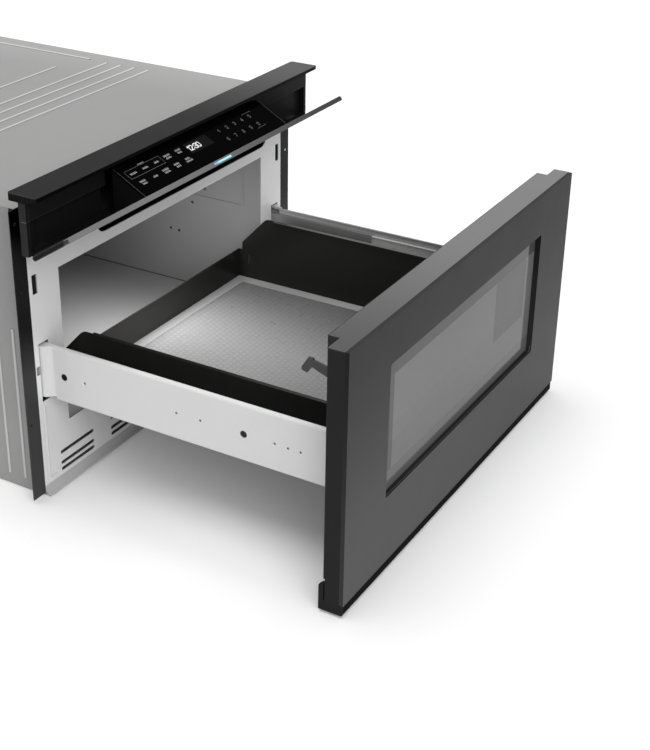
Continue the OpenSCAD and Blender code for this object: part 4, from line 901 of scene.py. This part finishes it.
@dataclass
class ControlHead(SubAssembly):
    """Hood, control housing, and the tilting flap with its module, glass and light bar."""

    keys: KeyPanel = KeyPanel()
    hood_top: float = 411.0
    hood_front: float = -45.9
    hood_half: float = 306.0
    hood_rim: float = 1.2
    hood_lip: float = 0.4
    hood_sheet: float = 0.5
    hood_lit_x: tuple[Pair, Pair] = ((-200.0, 20.0), (0.0, 300.0))
    housing_half: float = 305.0
    housing_front: float = -28.5
    bay_y: Pair = (-28.3, -20.6)
    header: float = 379.0
    header_lip: Pair = (378.8, 380.2)
    cheek_fold: Pair = (299.8, 301.2)
    lit_sill_x: Pair = (-298.0, -246.0)
    lit_sill_top: float = 339.8
    flap_end: float = -304.6
    flap_edge_y: float = -80.0
    flap_lit_x: Pair = (-150.0, 320.0)
    light_change_x: Pair = (-13.0, -7.0)
    # below this rise the light bar glows dimmer: a painted reflection of the bar
    light_rise_z: Pair = (368.2, 369.4)

    def dressings(self) -> Iterable[Dressing]:
        """Gives the head's finishes."""
        left_lit, right_lit = self.hood_lit_x
        # painted light and shade: a painted reflection lighter to the right, a darker front face, painted
        # highlights on its ends, painted shade below its top sheet
        hood = BrushedSteel("hood_black_steel", grey(0.16), 0.5, 0.04, specular=0.02, tones=(
            Fade(X, *left_lit, 0.9, 1.1),
            Fade(X, *right_lit, 1.0, 4.6),
            Zone(0.45, y=(None, self.hood_front + self.hood_lip), soft=0.2),
            Zone(2.0, side=(self.hood_half - self.hood_rim, None), soft=SKIN),
            Zone(0.20, z=(None, self.hood_top - self.hood_sheet), soft=0.2),
        ))
        face = (None, self.housing_front + SKIN)
        # painted highlights on the housing's ends, on the header's edge and lip, on the cheeks' folds and
        # along the left sill
        moulding = MouldedPlastic("housing_black_plastic", grey(0.10), specular=0.06, tones=(
            Zone(2.4, side=(self.housing_half - SKIN, None)),
            Zone(6.0, y=self.bay_y, z=(self.header - SKIN, self.header + SKIN)),
            Zone(2.0, y=face, z=self.header_lip),
            Zone(1.8, side=self.cheek_fold, y=face),
            Zone(7.0, x=self.lit_sill_x, y=face, z=(None, self.lit_sill_top), soft=SKIN),
        ))
        # painted light darker towards the right, painted shade on the left end and behind flap_edge_y
        flap = BrushedSteel("flap_black_steel", grey(0.47), 0.34, 0.15, tones=(
            Fade(X, *self.flap_lit_x, 1.1, 0.25),
            Zone(0.25, x=(None, self.flap_end)),
            Zone(0.2, y=(self.flap_edge_y, None), soft=1.0),
        ))
        glass = Finish("touch_glass_black", grey(0.02), 0.07, specular=0.003, wander=0.0, rough_wander=0.0)
        guide = Glowing(
            "light_guide", (0.1, 0.25, 0.3), 0.3, glow=(0.22, 0.24, 0.80), far_glow=(0.36, 0.86, 0.95),
            strength=0.85, change_x=self.light_change_x, rise_z=self.light_rise_z,
        )
        return (
            (hood, "hood_trim"),
            (moulding, "control_housing"),
            (Finish("pin_steel", grey(0.5), 0.3, 0.9), "hinge_pins"),
            (flap, "flap_panel"),
            (MouldedPlastic("module_black_plastic", grey(0.09), specular=0.04), "flap_module"),
            (glass, "touch_glass"),
            (guide, "light_bar"),
        )

    def extra_pieces(self) -> None:
        """Makes the marks on the touch glass."""
        self.keys.build()


@dataclass
class OvenCavity(SubAssembly):
    """Liner, mica cover, lamp holder and stirrer."""

    wall: float = 226.3
    wall_skin: float = 2.0
    floor_skin: float = 64.0
    mouth_y: float = 45.0
    mouth_z: float = 290.4
    floor_lit_x: Pair = (-10.0, 210.0)
    floor_lit_y: Pair = (60.0, 400.0)
    wall_lit_y: Pair = (150.0, 420.0)
    wall_lit_z: Pair = (70.0, 240.0)
    emboss_y: Pair = (28.5, 358.5)
    emboss_z: Pair = (209.0, 265.0)
    emboss_step: Pair = (0.2, 1.3)
    emboss_edge: Pair = (27.3, 28.5)
    emboss_foot: float = 0.5
    # places of holes in the wall, painted dark as their shade
    dots: tuple[Pair, ...] = ((97.5, 222.0), (119.5, 197.0), (145.5, 146.0), (160.5, 147.0))
    dot: float = 1.8

    def dressings(self) -> Iterable[Dressing]:
        """Gives the cavity's finishes."""
        on_floor: Span = (None, self.floor_skin)
        on_wall: Span = (self.wall - self.wall_skin, None)
        raised = tuple(self.wall + depth for depth in self.emboss_step)
        # painted light and shade: near-black over the outer top by the mouth where there is only shade,
        # painted light fading over floor and side wall, darker emboss step and edge, painted shade in the
        # holes
        liner = Finish("cavity_grey_paint", grey(0.76), 0.4, specular=0.2, wander=0.015, tones=(
            Zone(0.03, y=(None, self.mouth_y), z=(self.mouth_z, None)),
            Zone(Fade(X, *self.floor_lit_x, 1.2, 0.42), z=on_floor),
            Zone(Fade(Y, *self.floor_lit_y, 1.07, 0.66), z=on_floor),
            Zone(Fade(Z, *self.wall_lit_z, 0.38, 0.51), x=on_wall),
            Zone(Fade(Y, *self.wall_lit_y, 1.0, 0.75), x=on_wall),
            Zone(0.45, x=raised, y=self.emboss_y, z=self.emboss_z),
            Zone(0.8, x=(self.wall - self.emboss_foot, None), y=self.emboss_edge, z=self.emboss_z),
            HoleShade(self.dots, self.dot, 0.1),
        ))
        return (
            (liner, "cavity_liner"),
            (Finish("mica_sheet", grey(0.74, 0.06), 0.6, wander=0.12, wander_scale=40), "stirrer_cover"),
            (Finish("lamp_plastic", grey(0.80, 0.03), 0.5, relief=1e-5), "cavity_lamp"),
            (Finish("stirrer_aluminium", grey(0.75), 0.35, 0.9, wander=0.05), "stirrer_fan"),
        )


@dataclass
class MicrowaveSource(SubAssembly):
    """Waveguide, magnetron, supply, cooling and boards at the back and on top of the cavity."""

    def dressings(self) -> Iterable[Dressing]:
        """Gives the source's finishes."""
        cans = Finish("can_aluminium", grey(0.74), 0.35, 0.9, wander=0.05, wander_scale=80)
        zinc = Finish("source_zinc", grey(0.64), 0.34, 0.8, wander=0.08, wander_scale=60)
        board = Finish("board_green", (0.04, 0.16, 0.06), 0.4, coat=0.3, wander=0.15, wander_scale=300)
        return (
            (zinc, "waveguide stirrer_motor fan_motor"),
            (cans, "magnetron capacitor"),
            (MouldedPlastic("fan_black_plastic", grey(0.12)), "fan_shroud cooling_fan"),
            (Finish("core_lacquer", (0.09, 0.07, 0.06), 0.5, wander=0.2, wander_scale=90), "transformer"),
            (board, "control_board"),
            (Finish("carrier_plastic", grey(0.80, 0.03), 0.5, relief=1e-5), "board_carrier"),
        )


@dataclass(frozen=True)
class HoleRow:
    """Holes along one line of the arm and of the slide member beside it, by their places along Y."""

    z: float = 166.0
    large: tuple[float, ...] = (-29.5, -283.5)
    small: tuple[float, ...] = (-59.5, -323.5, -192.5, -225.5, -341.5, -357.5)

    def hole_shade(self, along: tuple[float, ...], radius: float, gain: float) -> HoleShade:
        """Gives the painted shade in the holes at the given places."""
        return HoleShade(tuple((y, self.z) for y in along), radius, gain)


@dataclass
class Slides(SubAssembly):
    """Nested slides, their brackets, the drawer's gear motor, pinion and rack, and the latches."""

    holes: HoleRow = HoleRow()
    large_radius: float = 6.0
    lit_z: Pair = (162.0, 186.0)

    def dressings(self) -> Iterable[Dressing]:
        """Gives the running gear's finishes."""
        zinc = Finish("slide_zinc", grey(0.60), 0.35, 0.4, wander=0.05, wander_scale=60)
        # painted shade in the large holes and painted light, lighter towards the top
        drawer = Finish("slide_member_zinc", grey(0.84), 0.35, 0.15, wander=0.05, tones=(
            self.holes.hole_shade(self.holes.large, self.large_radius, 0.01),
            Fade(Z, *self.lit_z, 0.85, 1.2),
        ))
        return (
            (zinc, "slide_cabinet_left slide_cabinet_right slide_middle_left slide_middle_right "
                   "slide_brackets drive_motor"),
            (drawer, "slide_drawer_left slide_drawer_right"),
            (Finish("latch_plastic", grey(0.20), 0.5, relief=1e-5), "latch_housing_left latch_housing_right"),
            (Finish("acetal", grey(0.84, 0.03), 0.4), "drawer_rack drive_pinion"),
        )


@dataclass
class Basket(SubAssembly):
    """Drawer arms, the basket's black sheets, the floor's frame and its glass."""

    holes: HoleRow = HoleRow()
    large_radius: float = 4.2
    small_radius: float = 1.3
    arm_inside: Pair = (200.0, 261.0)
    half: float = 212.0
    rim: float = 6.0
    lip: float = 204.0
    back_y: float = 20.0
    back_lit_x: Pair = (-100.0, 180.0)
    frame_lit_x: Pair = (-60.0, 210.0)
    glass_lit_x: Pair = (0.0, 200.0)
    glass_lit_y: Pair = (-300.0, -20.0)

    def dressings(self) -> Iterable[Dressing]:
        """Gives the arms' and the basket's finishes."""
        # painted shade in the holes and on the arm's inward faces
        arm = WhiteEnamel("arm_white_enamel", grey(0.89), 0.33, tones=(
            self.holes.hole_shade(self.holes.large, self.large_radius, 0.02),
            self.holes.hole_shade(self.holes.small, self.small_radius, 0.25),
            Zone(0.5, x=self.arm_inside),
        ))
        # painted highlight along the right side's top rim, painted light on the back lighter towards the left
        black = Finish("basket_black_enamel", grey(0.135, 0.03), 0.25, specular=0.12, wander=0.04, tones=(
            Zone(5.0, x=(self.half - self.rim, None), z=(self.lip - SKIN, None)),
            Zone(Fade(X, *self.back_lit_x, 4.2, 0.9), y=(self.back_y, None)),
        ))
        frame = Finish("floor_frame_grey", grey(0.84), 0.35, specular=0.2, tones=(
            Fade(X, *self.frame_lit_x, 1.08, 0.62),
        ))
        tones = (Fade(X, *self.glass_lit_x, 1.08, 0.42), Fade(Y, *self.glass_lit_y, 0.58, 1.26))
        glass = DottedCeramic("floor_ceramic", grey(0.64), 0.28, wander=0.01, relief=4e-5, tones=tones)
        return (
            (arm, "drawer_arm_left drawer_arm_right"),
            (black, "basket_side_left basket_side_right basket_back basket_pan"),
            (frame, "floor_frame"),
            (glass, "glass_floor"),
        )


@dataclass
class Door(SubAssembly):
    """Front sheet, frame, cap, pan, panes, screen, foot trim and latch hooks."""

    half: float = 303.2
    front: float = -436.5
    top: float = 327.0
    sheet_lit_z: Pair = (340.0, 10.0)
    sheet_lit_x: Pair = (-300.0, 300.0)
    cap_lit_x: Pair = (-340.0, 60.0)
    cap_back: float = -398.4
    trim_end: float = -300.0
    window_half: float = 209.0
    window_z: Pair = (104.0, 272.0)
    fold: float = 1.6
    fold_depth: float = 0.25
    jamb_x: float = 205.0
    jamb_depth: float = 1.0
    sill_y: Pair = (1.6, 3.0)
    sill_rise: float = 8.0
    clear_half: float = 184.0
    clear: Pair = (128.0, 248.0)
    pane_lit_x: Pair = (-190.0, -20.0)
    inside_z: Pair = (165.0, 185.0)
    inside_x: float = 90.0

    def window_tones(self) -> tuple[Tone, ...]:
        """Gives the painted light and shade on the printed border's four bars, and the bands of painted shade
        that stand for what is seen through the pane.
        """
        low, high = self.clear
        seat, wall = self.inside_z
        return (
            Fade(X, *self.pane_lit_x, 1.1, 1.0),
            Zone(0.95, z=(None, low), soft=0.2),
            Zone(1.3, x=(self.clear_half, None), z=self.clear, soft=0.2),
            Zone(0.62, z=(high, None), soft=0.2),
            Zone(0.70, x=(None, -self.clear_half), z=self.clear, soft=0.2),
            Zone(0.92, z=(low, seat), soft=1.2),
            Zone(0.96, z=(seat, wall), soft=1.2),
            Zone(0.70, x=(self.inside_x, self.clear_half), z=(seat, high), soft=1.2),
        )

    def dressings(self) -> Iterable[Dressing]:
        """Gives the door's finishes."""
        edge = self.window_half + self.fold
        fold_x = (-edge, edge)
        fold_z = (self.window_z[0] - self.fold, self.window_z[1] + self.fold)
        sill_y = tuple(self.front + depth for depth in self.sill_y)
        sill_z = (None, self.window_z[0] + self.sill_rise)
        # painted light and shade: lighter towards the foot and the left, shaded sides and top fold, painted
        # shade on the window's recess walls, painted highlights on the right jamb and the sill
        front = BrushedSteel("door_black_steel", grey(0.27), 0.42, 0.1, tones=(
            Fade(Z, *self.sheet_lit_z, 0.5, 1.5),
            Fade(X, *self.sheet_lit_x, 1.15, 0.8),
            Zone(0.42, side=(self.half - SKIN, None)),
            Zone(0.8, z=(self.top - SKIN, None)),
            Zone(0.24, x=fold_x, y=(self.front + self.fold_depth, None), z=fold_z, soft=0.15),
            Zone(2.3, x=(self.jamb_x, edge), y=(self.front + self.jamb_depth, None), z=fold_z),
            Zone(3.5, x=fold_x, y=sill_y, z=sill_z, soft=0.4),
        ))
        # painted light lighter to the right, painted shade on its sides and back
        cap = BrushedSteel("cap_black_steel", grey(0.45), 0.36, 0.15, tones=(
            Fade(X, *self.cap_lit_x, 0.55, 1.2),
            Zone(0.3, z=(None, self.top - SKIN)),
            Zone(0.35, y=(self.cap_back, None), soft=0.2),
        ))
        hook = Finish("hook_dark_steel", grey(0.27), 0.4, 0.3, specular=0.2)
        side = Finish("door_side_black", grey(0.12), 0.4, specular=0.1, relief=1.2e-5, relief_scale=2500)
        # painted highlight on the trim's left end
        trim = MouldedPlastic("trim_black_plastic", grey(0.11), 0.6, specular=0.004, tones=(
            Zone(2.2, x=(None, self.trim_end)),
        ))
        pane = WindowPane(
            "window_tint", grey(0.50), 0.08, specular=0.15,
            clear=Region(side=(None, self.clear_half), z=self.clear, soft=0.2), tones=self.window_tones(),
        )
        return (
            (front, "door_front"),
            (cap, "door_top_cap"),
            (side, "door_frame"),
            (Finish("pan_black_enamel", grey(0.14), 0.35, specular=0.15, relief=1e-5), "door_pan"),
            (trim, "bottom_trim"),
            (hook, "latch_hook_left latch_hook_right"),
            (pane, "outer_glass"),
            (Finish("inner_pane", grey(0.6), 0.04, alpha=0.25), "inner_glass"),
            (Perforated("window_mesh", grey(0.36), 0.45, 0.3), "window_screen"),
        )


@dataclass
class Studio:
    """Camera, lamps, world and floor."""

    camera_place: Triple = (-1.4139, -1.0305, 0.9795)
    azimuth: float = -58.912
    elevation: float = 26.782
    roll: float = 0.2126
    focal: float = 68.657
    sensor: float = 36.0
    shift: Pair = (0.0544, -0.0500)
    far: float = 50.0
    ambient: float = 0.38
    suns: tuple[tuple[str, Triple, float], ...] = (
        ("top_sun", (-0.05, 0.05, 0.99), 1.35), ("side_sun", (-0.53, -0.65, 0.55), 1.2),
    )
    sun_angle: float = 40.0
    oven_place: Triple = (0.0, 0.06, 0.262)
    oven_aim: Triple = (0.10, 0.06, 0.063)
    oven_size: float = 0.09
    oven_power: float = 0.36
    floor_half: float = 8.0
    floor_seen: float = 0.97
    floor_bounce: float = 0.80
    floor_glow: float = 0.09
    floor_rough: float = 0.9

    def put(self, name: str, data: bpy.types.ID, turn: Matrix, place: Triple = (0, 0, 0)) -> bpy.types.Object:
        """Adds a camera or a lamp with its rotation, at a place in metres."""
        made = bpy.data.objects.new(name, data)
        made.matrix_world = Matrix.Translation(place) @ turn.to_4x4()
        bpy.context.scene.collection.objects.link(made)
        return made

    def camera(self) -> None:
        """Makes the camera at the photograph's viewing angle.

        Its back direction follows from azimuth and elevation, and its right and up directions are
        turned about that by the roll.
        """
        az, el, roll = (math.radians(a) for a in (self.azimuth, self.elevation, self.roll))
        back = Vector((math.sin(az) * math.cos(el), -math.cos(az) * math.cos(el), math.sin(el)))
        right = Vector((math.cos(az), math.sin(az), 0.0))
        up = back.cross(right)
        cos, sin = math.cos(roll), math.sin(roll)
        right, up = right * cos + up * sin, up * cos - right * sin
        data = bpy.data.cameras.new("photo_camera")
        data.lens = self.focal
        data.sensor_width = self.sensor
        data.shift_x, data.shift_y = self.shift
        data.clip_end = self.far
        turn = Matrix((right, up, back)).transposed()
        bpy.context.scene.camera = self.put("photo_camera", data, turn, self.camera_place)

    def sun(self, name: str, way: Triple, light: float) -> None:
        """Adds one sun in a direction, so wide that its shadows are soft."""
        data = bpy.data.lights.new(name, "SUN")
        data.energy = light
        data.angle = math.radians(self.sun_angle)
        self.put(name, data, Vector(way).to_track_quat("Z", "Y").to_matrix())

    def oven_lamp(self) -> None:
        """Adds a soft square lamp under the oven's ceiling, which isn't seen itself."""
        data = bpy.data.lights.new("oven_lamp", "AREA")
        data.size = self.oven_size
        data.energy = self.oven_power
        way = Vector(self.oven_aim) - Vector(self.oven_place)
        made = self.put("oven_lamp", data, way.to_track_quat("-Z", "Y").to_matrix(), self.oven_place)
        made.visible_camera = False
        made.visible_glossy = False

    def world(self) -> None:
        """Makes an even sky: white where the camera, gloss and glass look, dimmer as light."""
        sky = Board(bpy.data.worlds.new("studio_sky"), "ShaderNodeBackground", "ShaderNodeOutputWorld")
        bpy.context.scene.world = sky.owner
        sky.feed("Color", (*WHITE, 1.0))
        sky.feed("Strength", sky.looked_at() * (1 - self.ambient) + self.ambient)

    def floor(self) -> None:
        """Lays a plain pale floor that keeps the object's shadow.

        The camera and gloss see it nearly white, and it sends less of its light back on the object.
        """
        h = self.floor_half
        corners = np.array([(-h, -h, -MM), (h, -h, -MM), (h, h, -MM), (-h, h, -MM)])
        made = new_piece("studio_floor", corners, np.array([[0, 1, 2, 3]]))
        board = Board(bpy.data.materials.new("pale_floor"))
        seen = board.looked_at()
        board.feed("Base Color", board.mixed(seen, (self.floor_bounce,) * 3, (self.floor_seen,) * 3))
        board.feed("Roughness", self.floor_rough)
        board.feed("Specular IOR Level", 0.0)
        board.feed("Emission Color", board.scaled(WHITE, seen * self.floor_glow))
        board.feed("Emission Strength", 1.0)
        dress(made, board.owner)

    def build(self) -> None:
        """Sets up everything but the object."""
        self.camera()
        self.world()
        self.floor()
        for sun in self.suns:
            self.sun(*sun)
        self.oven_lamp()
        bpy.context.scene.view_settings.view_transform = "Standard"


def main() -> None:
    """Builds the studio and every piece of the object in order."""
    logging.basicConfig(level=logging.INFO, format="%(name)s: %(message)s")
    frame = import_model()
    Studio().build()
    done: set[str] = set()
    for group in (Chassis(), ControlHead(), OvenCavity(), MicrowaveSource(), Slides(), Basket(), Door()):
        done |= group.build(frame["nodes"])
    bare = set(frame["nodes"]) - done
    if bare:
        raise ValueError(f"no finish for {sorted(bare)}")


if __name__ == "__main__":
    main()
